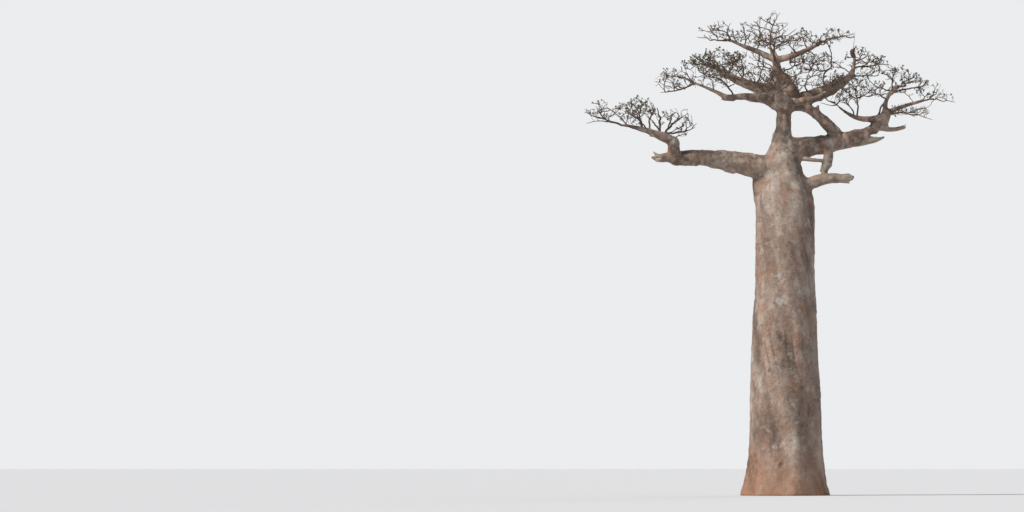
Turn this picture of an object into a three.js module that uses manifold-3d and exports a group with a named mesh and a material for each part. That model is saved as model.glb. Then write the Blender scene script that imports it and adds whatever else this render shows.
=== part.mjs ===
// Baobab, a whole tree in its leafless season: a flat-cut trunk with root flare,
// a leader, long tapering boughs with a few broken ones, and the masses of twigs
// at their ends. Millimetres, +Z up, origin in the middle of the flat cut at
// ground level, +X to the right of the crown's broad side and +Y behind it.

import * as THREE from 'three';
import { mergeVertices } from 'three/addons/utils/BufferGeometryUtils.js';
import Module from 'manifold-3d';

const wasm = await Module();
wasm.setup();

// ---------------------------------------------------------------- dimensions
const METRE = 1000; // every size below is in metres unless it says otherwise
const GAP = 0.35; // millimetres between pieces that meet

// trunk: a round column that swells towards its foot and narrows to the fork
const FORK_HEIGHT = 17.0;
const SHOULDER_HEIGHT = 14.7;
const FORK_RADIUS = 0.9;
const FORK_LEAN = -0.12; // how far the fork stands off the foot's axis, along X
const COLUMN_RADIUS = 1.46;
const BELLY_RADIUS = 1.75;
const BELLY_TOP = 11.5;
const BELLY_BOTTOM = 4.5;
const DEPTH_RATIO = 0.95; // front-to-back width over side-to-side width
const TRUNK_SIDES = 22;
const TRUNK_RINGS = 13;

// root flare: an even skirt plus rounded roots that run down into it
const FLARE_OUT = 0.2;
const FLARE_RISE = 1.7; // height over which the flare falls to a third
const ROOTS = [
  { heading: 12, out: 0.34, spread: 20 },
  { heading: 58, out: 0.26, spread: 17 },
  { heading: 104, out: 0.36, spread: 19 },
  { heading: 150, out: 0.24, spread: 16 },
  { heading: 187, out: 0.36, spread: 20 },
  { heading: 232, out: 0.28, spread: 17 },
  { heading: 276, out: 0.38, spread: 21 },
  { heading: 322, out: 0.3, spread: 18 },
];

const LIMB_SIDES = 7;
const LIMB_STEPS = 4;
const MASS_SIDES = 11;
const MASS_RINGS = 7;

// Each limb starts on the middle line of the piece named in "on": at a share of
// its length, or on the trunk at a height and "out" from the axis. It runs
// "length" towards "heading" (degrees from +X towards +Y) and "rise" (degrees
// above level), bowed by "lift" upwards and "side" to its left at mid length.
// radius: at the foot, the middle and the end. ragged: a broken, jagged end.
// shift: how far the foot of a limb on the trunk stands off along X.
const LIMBS = {
  neck: { on: 'trunk', at: 16.58, shift: -0.225, heading: 0, rise: 85.2, length: 3.08, lift: -0.02, side: 0, radius: [0.86, 0.44, 0.425] },
  leader: { on: 'neck', at: 0.92, heading: 174, rise: 79.3, length: 2.58, lift: -0.02, side: 0.03, radius: [0.602, 0.371, 0.136] },
  left_bough: { on: 'trunk', at: 16.28, out: 0.82, heading: -167.4, rise: 4.6, length: 5.85, lift: 0.28, side: -0.17, radius: [0.64, 0.45, 0.175], ragged: 0.5 },
  left_riser: { on: 'left_bough', at: 0.84, heading: -101.3, rise: 75.4, length: 0.88, lift: -0.04, side: 0.03, radius: [0.309, 0.284, 0.269], ragged: 0.25 },
  left_arm: { on: 'left_riser', at: 0.9, heading: -165.2, rise: 18.3, length: 2.24, lift: 0.08, side: 0.02, radius: [0.255, 0.175, 0.088] },
  right_bough: { on: 'trunk', at: 17.26, out: 0.29, heading: 11.9, rise: 10.9, length: 4.12, lift: 0.02, side: -0.01, radius: [0.652, 0.472, 0.403] },
  right_shoulder: { on: 'right_bough', at: 0.91, heading: 11.7, rise: 42.7, length: 1.89, lift: -0.18, side: 0.01, radius: [0.395, 0.29, 0.24] },
  right_split_stub: { on: 'right_bough', at: 0.82, heading: -5.3, rise: 2.2, length: 1.38, lift: -0.14, side: -0.02, radius: [0.282, 0.19, 0.115], ragged: 0.4 },
  right_dead_stub: { on: 'right_shoulder', at: 0.51, heading: 12.4, rise: 0.6, length: 1.47, lift: -0.11, side: 0.01, radius: [0.151, 0.12, 0.11], ragged: 0.4 },
  crown_strut: { on: 'neck', at: 1, heading: 9.5, rise: -31.6, length: 3.2, lift: 0.39, side: -0.1, radius: [0.321, 0.262, 0.34] },
  hanging_spur: { on: 'right_bough', at: 0.48, heading: -110.4, rise: -63.3, length: 1.67, lift: 0.11, side: 0.2, radius: [0.241, 0.245, 0.2], ragged: 0.35 },
  lower_stub: { on: 'trunk', at: 15.29, out: 0.7, heading: -10.6, rise: 10.8, length: 2.62, lift: 0.24, side: -0.07, radius: [0.4, 0.275, 0.25], ragged: 0.45 },
  dead_bar: { on: 'trunk', at: 16.92, out: 0.74, heading: -6.2, rise: -7.3, length: 1.41, lift: -0.06, side: -0.23, radius: [0.15, 0.1, 0.11], ragged: 0.3 },
  u_limb: { on: 'right_shoulder', at: 0.87, heading: -160, rise: 13, length: 2.78, lift: -0.41, side: -0.04, radius: [0.212, 0.115, 0.05] },
  right_post: { on: 'right_shoulder', at: 0.96, heading: 9, rise: 68.7, length: 1.4, lift: 0.26, side: 0, radius: [0.155, 0.115, 0.095] },
  right_reach: { on: 'right_shoulder', at: 1, heading: 14.4, rise: 17.3, length: 2.53, lift: 0.06, side: -0.01, radius: [0.146, 0.101, 0.056] },
  right_crown_limb: { on: 'neck', at: 1, heading: 16.2, rise: 22.5, length: 3.87, lift: -0.27, side: 0.06, radius: [0.452, 0.345, 0.172] },
  right_crown_rise: { on: 'right_crown_limb', at: 0.98, heading: 28.4, rise: 77.9, length: 1.11, lift: -0.09, side: -0.04, radius: [0.155, 0.098, 0.068] },
  left_low_limb: { on: 'leader', at: 0.21, heading: 168.2, rise: 1.6, length: 2.98, lift: -0.02, side: -0.03, radius: [0.452, 0.225, 0.135] },
  left_low_reach: { on: 'left_low_limb', at: 0.97, heading: 167.9, rise: 24.6, length: 1.78, lift: 0.06, side: 0.01, radius: [0.135, 0.101, 0.071] },
  left_high_limb: { on: 'leader', at: 0.31, heading: -161.9, rise: 17.2, length: 3.67, lift: -0.23, side: 0.03, radius: [0.401, 0.24, 0.11] },
  top_left_limb: { on: 'leader', at: 0.96, heading: 162.1, rise: 24.5, length: 2.52, lift: 0.02, side: 0, radius: [0.188, 0.132, 0.078] },
  top_right_limb: { on: 'leader', at: 0.96, heading: -20.1, rise: 16.9, length: 2.27, lift: -0.11, side: -0.01, radius: [0.185, 0.13, 0.09] },
  top_mid_limb: { on: 'leader', at: 1, heading: -146.9, rise: 82.4, length: 1.39, lift: -0.16, side: -0.11, radius: [0.09, 0.065, 0.045] },
  front_limb: { on: 'neck', at: 1, heading: -99.8, rise: 3, length: 4.5, lift: -0.05, side: 0, radius: [0.4, 0.228, 0.108] },
  back_limb: { on: 'neck', at: 1, heading: 91.3, rise: 8, length: 4.8, lift: -0.06, side: 0, radius: [0.4, 0.234, 0.113] },
  front_left_limb: { on: 'leader', at: 0.31, heading: -125.9, rise: 4, length: 4.05, lift: -0.06, side: 0.1, radius: [0.29, 0.15, 0.09] },
  back_right_limb: { on: 'neck', at: 1, heading: 53.4, rise: 12.9, length: 4.34, lift: -0.08, side: 0.04, radius: [0.29, 0.155, 0.09] },
  front_right_limb: { on: 'neck', at: 1, heading: -58.8, rise: 4.5, length: 3.51, lift: -0.05, side: 0.08, radius: [0.29, 0.145, 0.084] },
  back_left_limb: { on: 'leader', at: 0.31, heading: 123.5, rise: 15.6, length: 4.49, lift: -0.12, side: 0.12, radius: [0.3, 0.15, 0.087] },
  front_top_limb: { on: 'leader', at: 0.87, heading: -95.4, rise: 14, length: 2.6, lift: -0.05, side: -0.05, radius: [0.125, 0.086, 0.052] },
  back_top_limb: { on: 'leader', at: 0.88, heading: 87.8, rise: 22, length: 2.86, lift: -0.06, side: -0.04, radius: [0.125, 0.086, 0.054] },
};

// Each mass of twigs has its middle "at" [x, y, z], half widths along X and Y,
// its reach "up" and "down", and "lean", the rise of its middle per metre of X.
// takes: the limbs that end where they enter it.
const MASSES = {
  crown_top: { at: [-0.75, -0.05, 23.37], half: [1.02, 0.98], up: 0.85, down: 0.9, lean: 0, takes: ['top_mid_limb'] },
  top_left_mass: { at: [-3.3, 1.1, 23.2], half: [1.11, 1.16], up: 0.63, down: 0.35, lean: -0.1, takes: ['top_left_limb'] },
  top_left_inner: { at: [-1.92, 0.5, 23.05], half: [0.74, 0.91], up: 0.65, down: 0.45, lean: -0.2, takes: [] },
  top_right_mass: { at: [2.29, -1.01, 22.77], half: [1.05, 1.1], up: 0.57, down: 0.45, lean: 0.15, takes: ['top_right_limb'] },
  top_right_inner: { at: [0.95, -0.45, 22.8], half: [0.78, 1], up: 0.6, down: 0.55, lean: -0.1, takes: [] },
  front_top_mass: { at: [-0.72, -2.85, 22.4], half: [1.09, 1.24], up: 0.54, down: 0.45, lean: 0, takes: ['front_top_limb'] },
  back_top_mass: { at: [-0.25, 2.98, 22.98], half: [1.12, 1.28], up: 0.56, down: 0.46, lean: 0, takes: ['back_top_limb'] },
  left_high_mass: { at: [-3.68, -1.43, 21.52], half: [1.54, 1.4], up: 0.65, down: 0.5, lean: 0.12, takes: ['left_high_limb'] },
  left_low_mass: { at: [-5.38, 1.1, 20.86], half: [1.12, 1.11], up: 0.75, down: 0.66, lean: 0, takes: ['left_low_reach'] },
  left_low_inner: { at: [-3.44, 0.5, 20.86], half: [0.75, 0.86], up: 0.35, down: 0.5, lean: -0.1, takes: [] },
  left_inner_mass: { at: [-1.85, -0.4, 21.62], half: [0.95, 1], up: 0.55, down: 0.7, lean: 0, takes: [] },
  right_inner_high: { at: [1.5, 0.4, 21.76], half: [1.6, 1.21], up: 0.45, down: 0.6, lean: 0, takes: [] },
  right_inner_low: { at: [1.4, 0.6, 20.78], half: [1.3, 1.11], up: 0.45, down: 0.55, lean: 0.1, takes: [] },
  right_crown_mass: { at: [4.33, 1.26, 21.79], half: [1.25, 1.16], up: 0.68, down: 0.78, lean: -0.22, takes: ['right_crown_rise'] },
  right_mid_mass: { at: [3.75, 0.1, 20.32], half: [1.7, 1.2], up: 0.85, down: 0.74, lean: 0, takes: ['u_limb'] },
  right_far_mass: { at: [6.42, 1.51, 20.78], half: [1.15, 1.06], up: 0.71, down: 0.72, lean: -0.27, takes: ['right_post'] },
  right_tip_mass: { at: [8.02, 1.87, 20.25], half: [0.76, 0.76], up: 0.51, down: 0.46, lean: -0.25, takes: ['right_reach'] },
  right_under_mass: { at: [6.39, 0.81, 19.27], half: [1.11, 0.76], up: 0.4, down: 0.35, lean: 0, takes: [] },
  low_left_tip: { at: [-9.29, -2.42, 18.97], half: [0.74, 0.79], up: 0.62, down: 0.45, lean: 0.02, takes: [] },
  low_left_mass: { at: [-7.49, -1.93, 19.05], half: [1.14, 1.04], up: 0.6, down: 0.7, lean: -0.06, takes: ['left_arm'] },
  low_right_mass: { at: [-5.45, -1.34, 18.6], half: [0.9, 0.9], up: 0.7, down: 0.88, lean: -0.16, takes: ['left_riser'] },
  front_mass: { at: [-0.8, -4.8, 20.22], half: [1.37, 1.6], up: 0.68, down: 0.59, lean: 0, takes: ['front_limb'] },
  back_mass: { at: [-0.1, 4.92, 20.8], half: [1.44, 1.68], up: 0.72, down: 0.62, lean: 0, takes: ['back_limb'] },
  front_left_mass: { at: [-2.9, -3.6, 20.7], half: [1.23, 1.38], up: 0.59, down: 0.49, lean: 0, takes: ['front_left_limb'] },
  back_right_mass: { at: [2.9, 3.7, 20.92], half: [1.28, 1.42], up: 0.61, down: 0.51, lean: 0, takes: ['back_right_limb'] },
  front_right_mass: { at: [2.15, -3.3, 20.25], half: [1.03, 1.3], up: 0.49, down: 0.44, lean: 0, takes: ['front_right_limb'] },
  back_left_mass: { at: [-2.9, 3.85, 21.62], half: [1.23, 1.42], up: 0.56, down: 0.51, lean: 0, takes: ['back_left_limb'] },
};

const BARK = { color: '#7d6a5c', roughness: 0.82 };
const DEADWOOD = { color: '#8d7d6c', roughness: 0.88 };
const TWIGS = { color: '#6d6552', roughness: 0.9 };

// ------------------------------------------------------------------- helpers
const radians = THREE.MathUtils.degToRad;

// 0 to 1 with soft ends as value goes from start to end
const ease = (value, start, end) => {
  const t = THREE.MathUtils.clamp((value - start) / (end - start), 0, 1);
  return t * t * (3 - 2 * t);
};

// a value along a limb that has the three given values at foot, middle and end
const along = (t, [foot, middle, end]) =>
  foot * (1 - t) + end * t + 4 * t * (1 - t) * (middle - (foot + end) / 2);

// a fixed number from 0 to 1 for each name and index
const chance = (name, index) => {
  let h = 2166136261 ^ (index * 374761393);
  for (const letter of name) h = Math.imul(h ^ letter.charCodeAt(0), 16777619);
  h = Math.imul(h ^ (h >>> 15), 2246822519);
  h = Math.imul(h ^ (h >>> 13), 3266489917);
  return ((h ^ (h >>> 16)) >>> 0) / 4294967296;
};

// moves every vertex of a geometry class by a function, and joins its seams
const shape = (geometry, move) => {
  geometry.deleteAttribute('normal');
  geometry.deleteAttribute('uv');
  const joined = mergeVertices(geometry, 1e-5);
  const position = joined.attributes.position;
  const point = new THREE.Vector3();
  for (let i = 0; i < position.count; i++) {
    point.fromBufferAttribute(position, i);
    move(point);
    position.setXYZ(i, point.x, point.y, point.z);
  }
  return joined;
};

const toSolid = (geometry) =>
  new wasm.Manifold(
    new wasm.Mesh({
      numProp: 3,
      vertProperties: new Float32Array(geometry.attributes.position.array),
      triVerts: new Uint32Array(geometry.index.array),
    }),
  );

const toGeometry = (solid, middle) => {
  const mesh = solid.getMesh();
  const geometry = new THREE.BufferGeometry();
  const vertices = Float32Array.from(mesh.vertProperties);
  for (let i = 0; i < vertices.length; i += 3) {
    vertices[i] -= middle.x;
    vertices[i + 1] -= middle.y;
    vertices[i + 2] -= middle.z;
  }
  geometry.setAttribute('position', new THREE.BufferAttribute(vertices, 3));
  geometry.setIndex(new THREE.BufferAttribute(new Uint32Array(mesh.triVerts), 1));
  geometry.computeVertexNormals();
  return geometry;
};

const boxesMeet = (a, b) => {
  const p = a.boundingBox();
  const q = b.boundingBox();
  return [0, 1, 2].every((k) => p.min[k] <= q.max[k] && q.min[k] <= p.max[k]);
};

// takes the cutters out of a solid and keeps its largest body
const carve = (solid, cutters) => {
  let result = solid;
  for (const cutter of cutters) if (boxesMeet(result, cutter)) result = result.subtract(cutter);
  const bodies = result.decompose().sort((a, b) => b.volume() - a.volume());
  return bodies[0];
};

// --------------------------------------------------------------------- trunk
const trunkRadius = (height, heading) => {
  const belly = (BELLY_RADIUS - COLUMN_RADIUS) * (1 - ease(height, BELLY_BOTTOM, BELLY_TOP));
  const shoulder = (COLUMN_RADIUS - FORK_RADIUS) * ease(height, SHOULDER_HEIGHT, FORK_HEIGHT - 0.1);
  let roots = FLARE_OUT;
  for (const root of ROOTS) {
    const off = THREE.MathUtils.euclideanModulo(heading - root.heading + 180, 360) - 180;
    roots += root.out * Math.exp(-((off / root.spread) ** 2));
  }
  const folds = 0.012 * Math.sin(radians(heading * 5 + 40)) + 0.008 * Math.sin(radians(heading * 8 + height * 9));
  return COLUMN_RADIUS + belly - shoulder + roots * Math.exp(-height / FLARE_RISE) + folds;
};

const trunkMesh = (grow) =>
  shape(new THREE.CylinderGeometry(1, 1, 1, TRUNK_SIDES, TRUNK_RINGS), (p) => {
    const t = p.y + 0.5;
    const turn = Math.atan2(-p.z, p.x);
    const out = Math.hypot(p.x, p.z);
    // rings stand closer together in the flare and in the shoulder
    const height = FORK_HEIGHT * (0.5 * t + 0.5 * t * t * (3 - 2 * t));
    const rim = t > 0.999 ? 0.82 : 1;
    const radius = out * (trunkRadius(height, THREE.MathUtils.radToDeg(turn)) * rim * METRE + grow);
    const lean = FORK_LEAN * ease(height, SHOULDER_HEIGHT, FORK_HEIGHT) * METRE;
    p.set(
      Math.cos(turn) * radius + lean,
      Math.sin(turn) * radius * DEPTH_RATIO,
      height * METRE + (t > 0.999 ? grow : 0),
    );
  });

// --------------------------------------------------------------------- limbs
const lines = {};

const middleLine = (name) => {
  if (lines[name]) return lines[name];
  const limb = LIMBS[name];
  const heading = radians(limb.heading);
  const rise = radians(limb.rise);
  const start = new THREE.Vector3();
  if (limb.on === 'trunk') {
    const out = limb.out ?? 0;
    start.set(Math.cos(heading) * out + (limb.shift ?? 0), Math.sin(heading) * out, limb.at);
  } else {
    middleLine(limb.on).getPoint(limb.at, start);
  }
  const forward = new THREE.Vector3(
    Math.cos(rise) * Math.cos(heading),
    Math.cos(rise) * Math.sin(heading),
    Math.sin(rise),
  );
  const left = new THREE.Vector3(-Math.sin(heading), Math.cos(heading), 0);
  const up = new THREE.Vector3().crossVectors(forward, left);
  const end = start.clone().addScaledVector(forward, limb.length);
  const bend = start
    .clone()
    .add(end)
    .multiplyScalar(0.5)
    .addScaledVector(up, 2 * limb.lift)
    .addScaledVector(left, 2 * limb.side);
  lines[name] = new THREE.QuadraticBezierCurve3(start, bend, end);
  lines[name].left = left;
  return lines[name];
};

const limbMesh = (name, grow) => {
  const limb = LIMBS[name];
  const line = middleLine(name);
  const centre = new THREE.Vector3();
  const tangent = new THREE.Vector3();
  const across = new THREE.Vector3();
  const over = new THREE.Vector3();
  return shape(new THREE.CylinderGeometry(1, 1, 1, LIMB_SIDES, LIMB_STEPS), (p) => {
    const t = THREE.MathUtils.clamp(p.y + 0.5, 0, 1);
    const turn = Math.atan2(p.z, p.x);
    const out = Math.hypot(p.x, p.z);
    line.getPoint(t, centre).multiplyScalar(METRE);
    line.getTangent(t, tangent).normalize();
    across.copy(line.left).addScaledVector(tangent, -line.left.dot(tangent)).normalize();
    over.crossVectors(across, tangent).normalize();
    const uneven = 1 + 0.05 * Math.sin(2 * turn + 5 * t + 6 * chance(name, 1)) + 0.03 * Math.sin(3 * turn + 9 * t);
    const radius = out * (along(t, limb.radius) * uneven * METRE + grow);
    // grown cutters are a little longer at both ends, and broken ends are jagged
    let push = t > 0.999 ? grow : t < 0.001 ? -grow : 0;
    if (t > 0.999 && limb.ragged) {
      push += out * (chance(name, Math.round(turn * 10) + 40) - 0.6) * limb.ragged * METRE * 0.9;
    }
    p.copy(centre)
      .addScaledVector(across, Math.cos(turn) * radius)
      .addScaledVector(over, Math.sin(turn) * radius)
      .addScaledVector(tangent, push);
  });
};

// -------------------------------------------------------------------- masses
const massMesh = (name, grow) => {
  const mass = MASSES[name];
  const wave = [1, 2, 3, 4, 5].map((k) => 2 * Math.PI * chance(name, k));
  return shape(new THREE.SphereGeometry(1, MASS_SIDES, MASS_RINGS), (p) => {
    p.set(p.x, -p.z, p.y); // poles up and down
    const uneven =
      1 +
      0.07 * Math.sin(4 * p.x + 2 * p.y + wave[0]) +
      0.06 * Math.sin(5 * p.y - 3 * p.z + wave[1]) +
      0.05 * Math.sin(6 * p.z + 4 * p.x + wave[2]) +
      0.05 * Math.sin(9 * p.x * p.y + 3 * p.z + wave[3]);
    const reach = [mass.half[0], mass.half[1], p.z > 0 ? mass.up : mass.down];
    const x = p.x * (reach[0] * uneven * METRE + grow);
    const y = p.y * (reach[1] * uneven * METRE + grow);
    // flatter below than above, as twigs spread from a limb and then turn up
    const z = p.z * (reach[2] * uneven * METRE + grow) + mass.lean * x;
    p.set(mass.at[0] * METRE + x, mass.at[1] * METRE + y, mass.at[2] * METRE + z);
  });
};

// ------------------------------------------------------------------ assembly
const limbNames = Object.keys(LIMBS);
const massNames = Object.keys(MASSES);
const endsIn = (limb, mass) => MASSES[mass].takes.includes(limb);

const plain = { trunk: toSolid(trunkMesh(0)) };
const grown = { trunk: toSolid(trunkMesh(GAP)) };
for (const name of limbNames) {
  plain[name] = toSolid(limbMesh(name, 0));
  grown[name] = toSolid(limbMesh(name, GAP));
}
for (const name of massNames) {
  plain[name] = toSolid(massMesh(name, 0));
  grown[name] = toSolid(massMesh(name, GAP));
}

const part = new THREE.Group();
const wood = new THREE.Group();
const canopy = new THREE.Group();
part.add(wood, canopy);

const place = (group, name, solid, middle, look) => {
  const mesh = new THREE.Mesh(
    toGeometry(solid, middle),
    new THREE.MeshStandardMaterial({ color: look.color, roughness: look.roughness, metalness: 0 }),
  );
  mesh.name = name;
  mesh.position.copy(middle);
  group.add(mesh);
};

place(wood, 'trunk', plain.trunk, new THREE.Vector3(), BARK);

// a limb is cut by the trunk, by the limbs before it and by the mass it enters
limbNames.forEach((name, index) => {
  const cutters = [
    grown.trunk,
    ...limbNames.slice(0, index).map((other) => grown[other]),
    ...massNames.filter((mass) => endsIn(name, mass)).map((mass) => grown[mass]),
  ];
  const middle = middleLine(name).getPoint(0).multiplyScalar(METRE);
  place(wood, name, carve(plain[name], cutters), middle, LIMBS[name].ragged ? DEADWOOD : BARK);
});

// a mass is cut by the limbs that pass it and by the masses before it
massNames.forEach((name, index) => {
  const cutters = [
    ...limbNames.filter((limb) => !endsIn(limb, name)).map((limb) => grown[limb]),
    ...massNames.slice(0, index).map((other) => grown[other]),
  ];
  const middle = new THREE.Vector3(...MASSES[name].at).multiplyScalar(METRE);
  place(canopy, name, carve(plain[name], cutters), middle, TWIGS);
});

export default part;
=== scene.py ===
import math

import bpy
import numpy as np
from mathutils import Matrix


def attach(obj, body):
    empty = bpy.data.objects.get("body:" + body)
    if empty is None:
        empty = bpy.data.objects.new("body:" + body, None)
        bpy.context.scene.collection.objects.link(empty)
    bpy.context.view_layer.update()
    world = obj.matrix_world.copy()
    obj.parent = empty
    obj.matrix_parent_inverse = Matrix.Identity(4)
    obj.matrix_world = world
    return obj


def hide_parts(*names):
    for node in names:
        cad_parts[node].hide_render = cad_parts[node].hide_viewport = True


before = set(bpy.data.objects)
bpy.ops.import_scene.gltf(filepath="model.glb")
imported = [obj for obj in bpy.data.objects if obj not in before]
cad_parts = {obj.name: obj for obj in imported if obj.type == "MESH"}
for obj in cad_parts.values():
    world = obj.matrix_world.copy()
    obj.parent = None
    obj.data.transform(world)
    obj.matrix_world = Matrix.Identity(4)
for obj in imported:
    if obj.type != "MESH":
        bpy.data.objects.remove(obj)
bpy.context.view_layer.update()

# A whole baobab in its leafless season. Metres, +Z up, origin in the middle of
# the flat cut at ground level. The limbs and masses are those of the solid
# model; the wood is one bark-covered skin over all of them, and the twigs grow
# on from the limbs by a seeded branching rule.

SEED = 41
VOXEL = 0.052            # mesh size of the bark skin
LEAF_SHARE = 0.22        # share of the tips with leaves

# ------------------------------------------------------------------ the trunk
FORK_HEIGHT = 17.0
SHOULDER_HEIGHT = 14.7
FORK_RADIUS = 0.9
FORK_LEAN = -0.12
COLUMN_RADIUS = 1.46
BELLY_RADIUS = 1.75
BELLY_TOP = 11.5
BELLY_BOTTOM = 4.5
DEPTH_RATIO = 0.95
FLARE_OUT = 0.2
FLARE_RISE = 1.7
# heading in degrees, how far out, how wide in degrees
ROOTS = ((12, 0.34, 20), (58, 0.26, 17), (104, 0.36, 19), (150, 0.24, 16),
         (187, 0.36, 20), (232, 0.28, 17), (276, 0.38, 21), (322, 0.30, 18))

# ------------------------------------------------------------------- the limbs
# name: (on, at, out, heading, rise, length, lift, side, (foot, middle, end radius))
LIMBS = {
    "neck": ("trunk", 16.58, 0, 0, 85.2, 3.08, -0.02, 0, (0.86, 0.44, 0.425)),
    "leader": ("neck", 0.92, 0, 174, 79.3, 2.58, -0.02, 0.03, (0.602, 0.371, 0.136)),
    "left_bough": ("trunk", 16.28, 0.82, -167.4, 4.6, 5.85, 0.28, -0.17, (0.64, 0.45, 0.175)),
    "left_riser": ("left_bough", 0.84, 0, -101.3, 75.4, 0.88, -0.04, 0.03, (0.309, 0.284, 0.269)),
    "left_arm": ("left_riser", 0.9, 0, -165.2, 18.3, 2.24, 0.08, 0.02, (0.255, 0.175, 0.088)),
    "right_bough": ("trunk", 17.26, 0.29, 11.9, 10.9, 4.12, 0.02, -0.01, (0.652, 0.472, 0.403)),
    "right_shoulder": ("right_bough", 0.91, 0, 11.7, 42.7, 1.89, -0.18, 0.01, (0.395, 0.29, 0.24)),
    "right_split_stub": ("right_bough", 0.82, 0, -5.3, 2.2, 1.38, -0.14, -0.02, (0.282, 0.19, 0.115)),
    "right_dead_stub": ("right_shoulder", 0.51, 0, 12.4, 0.6, 1.47, -0.11, 0.01, (0.151, 0.12, 0.11)),
    "crown_strut": ("neck", 1, 0, 9.5, -31.6, 3.2, 0.39, -0.1, (0.321, 0.262, 0.34)),
    "hanging_spur": ("right_bough", 0.48, 0, -110.4, -63.3, 1.67, 0.11, 0.2, (0.241, 0.245, 0.2)),
    "lower_stub": ("trunk", 15.29, 0.7, -10.6, 10.8, 2.62, 0.24, -0.07, (0.4, 0.275, 0.25)),
    "dead_bar": ("trunk", 16.92, 0.74, -6.2, -7.3, 1.41, -0.06, -0.23, (0.15, 0.1, 0.11)),
    "u_limb": ("right_shoulder", 0.87, 0, -160, 13, 2.78, -0.41, -0.04, (0.212, 0.115, 0.05)),
    "right_post": ("right_shoulder", 0.96, 0, 9, 68.7, 1.4, 0.26, 0, (0.155, 0.115, 0.095)),
    "right_reach": ("right_shoulder", 1, 0, 14.4, 17.3, 2.53, 0.06, -0.01, (0.146, 0.101, 0.056)),
    "right_crown_limb": ("neck", 1, 0, 16.2, 22.5, 3.87, -0.27, 0.06, (0.452, 0.345, 0.172)),
    "right_crown_rise": ("right_crown_limb", 0.98, 0, 28.4, 77.9, 1.11, -0.09, -0.04, (0.155, 0.098, 0.068)),
    "left_low_limb": ("leader", 0.21, 0, 168.2, 1.6, 2.98, -0.02, -0.03, (0.452, 0.225, 0.135)),
    "left_low_reach": ("left_low_limb", 0.97, 0, 167.9, 24.6, 1.78, 0.06, 0.01, (0.135, 0.101, 0.071)),
    "left_high_limb": ("leader", 0.31, 0, -161.9, 17.2, 3.67, -0.23, 0.03, (0.401, 0.24, 0.11)),
    "top_left_limb": ("leader", 0.96, 0, 162.1, 24.5, 2.52, 0.02, 0, (0.188, 0.132, 0.078)),
    "top_right_limb": ("leader", 0.96, 0, -20.1, 16.9, 2.27, -0.11, -0.01, (0.185, 0.13, 0.09)),
    "top_mid_limb": ("leader", 1, 0, -146.9, 82.4, 1.39, -0.16, -0.11, (0.09, 0.065, 0.045)),
    "front_limb": ("neck", 1, 0, -99.8, 3.0, 4.5, -0.05, 0, (0.4, 0.228, 0.108)),
    "back_limb": ("neck", 1, 0, 91.3, 8.0, 4.8, -0.06, 0, (0.4, 0.234, 0.113)),
    "front_left_limb": ("leader", 0.31, 0, -125.9, 4.0, 4.05, -0.06, 0.1, (0.29, 0.15, 0.09)),
    "back_right_limb": ("neck", 1, 0, 53.4, 12.9, 4.34, -0.08, 0.04, (0.29, 0.155, 0.09)),
    "front_right_limb": ("neck", 1, 0, -58.8, 4.5, 3.51, -0.05, 0.08, (0.29, 0.145, 0.084)),
    "back_left_limb": ("leader", 0.31, 0, 123.5, 15.6, 4.49, -0.12, 0.12, (0.3, 0.15, 0.087)),
    "front_top_limb": ("leader", 0.87, 0, -95.4, 14.0, 2.6, -0.05, -0.05, (0.125, 0.086, 0.052)),
    "back_top_limb": ("leader", 0.88, 0, 87.8, 22.0, 2.86, -0.06, -0.04, (0.125, 0.086, 0.054)),
}

# broken ends: how far the break is jagged, in metres
RAGGED = {"left_bough": 0.27, "left_riser": 0.16, "lower_stub": 0.30, "right_split_stub": 0.28,
          "right_dead_stub": 0.09, "hanging_spur": 0.2, "dead_bar": 0.18}

# limbs that wander more than the rest, by this much at mid length
CROOKED = {"neck": 0.0, "trunk": 0.0, "left_bough": 0.02, "right_bough": 0.02, "leader": 0.02,
           "front_limb": 0.15, "back_limb": 0.16, "front_left_limb": 0.15, "back_right_limb": 0.16,
           "front_right_limb": 0.13, "back_left_limb": 0.16, "front_top_limb": 0.10, "back_top_limb": 0.10,
           "left_low_limb": 0.05, "left_high_limb": 0.05, "right_crown_limb": 0.05}

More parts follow.
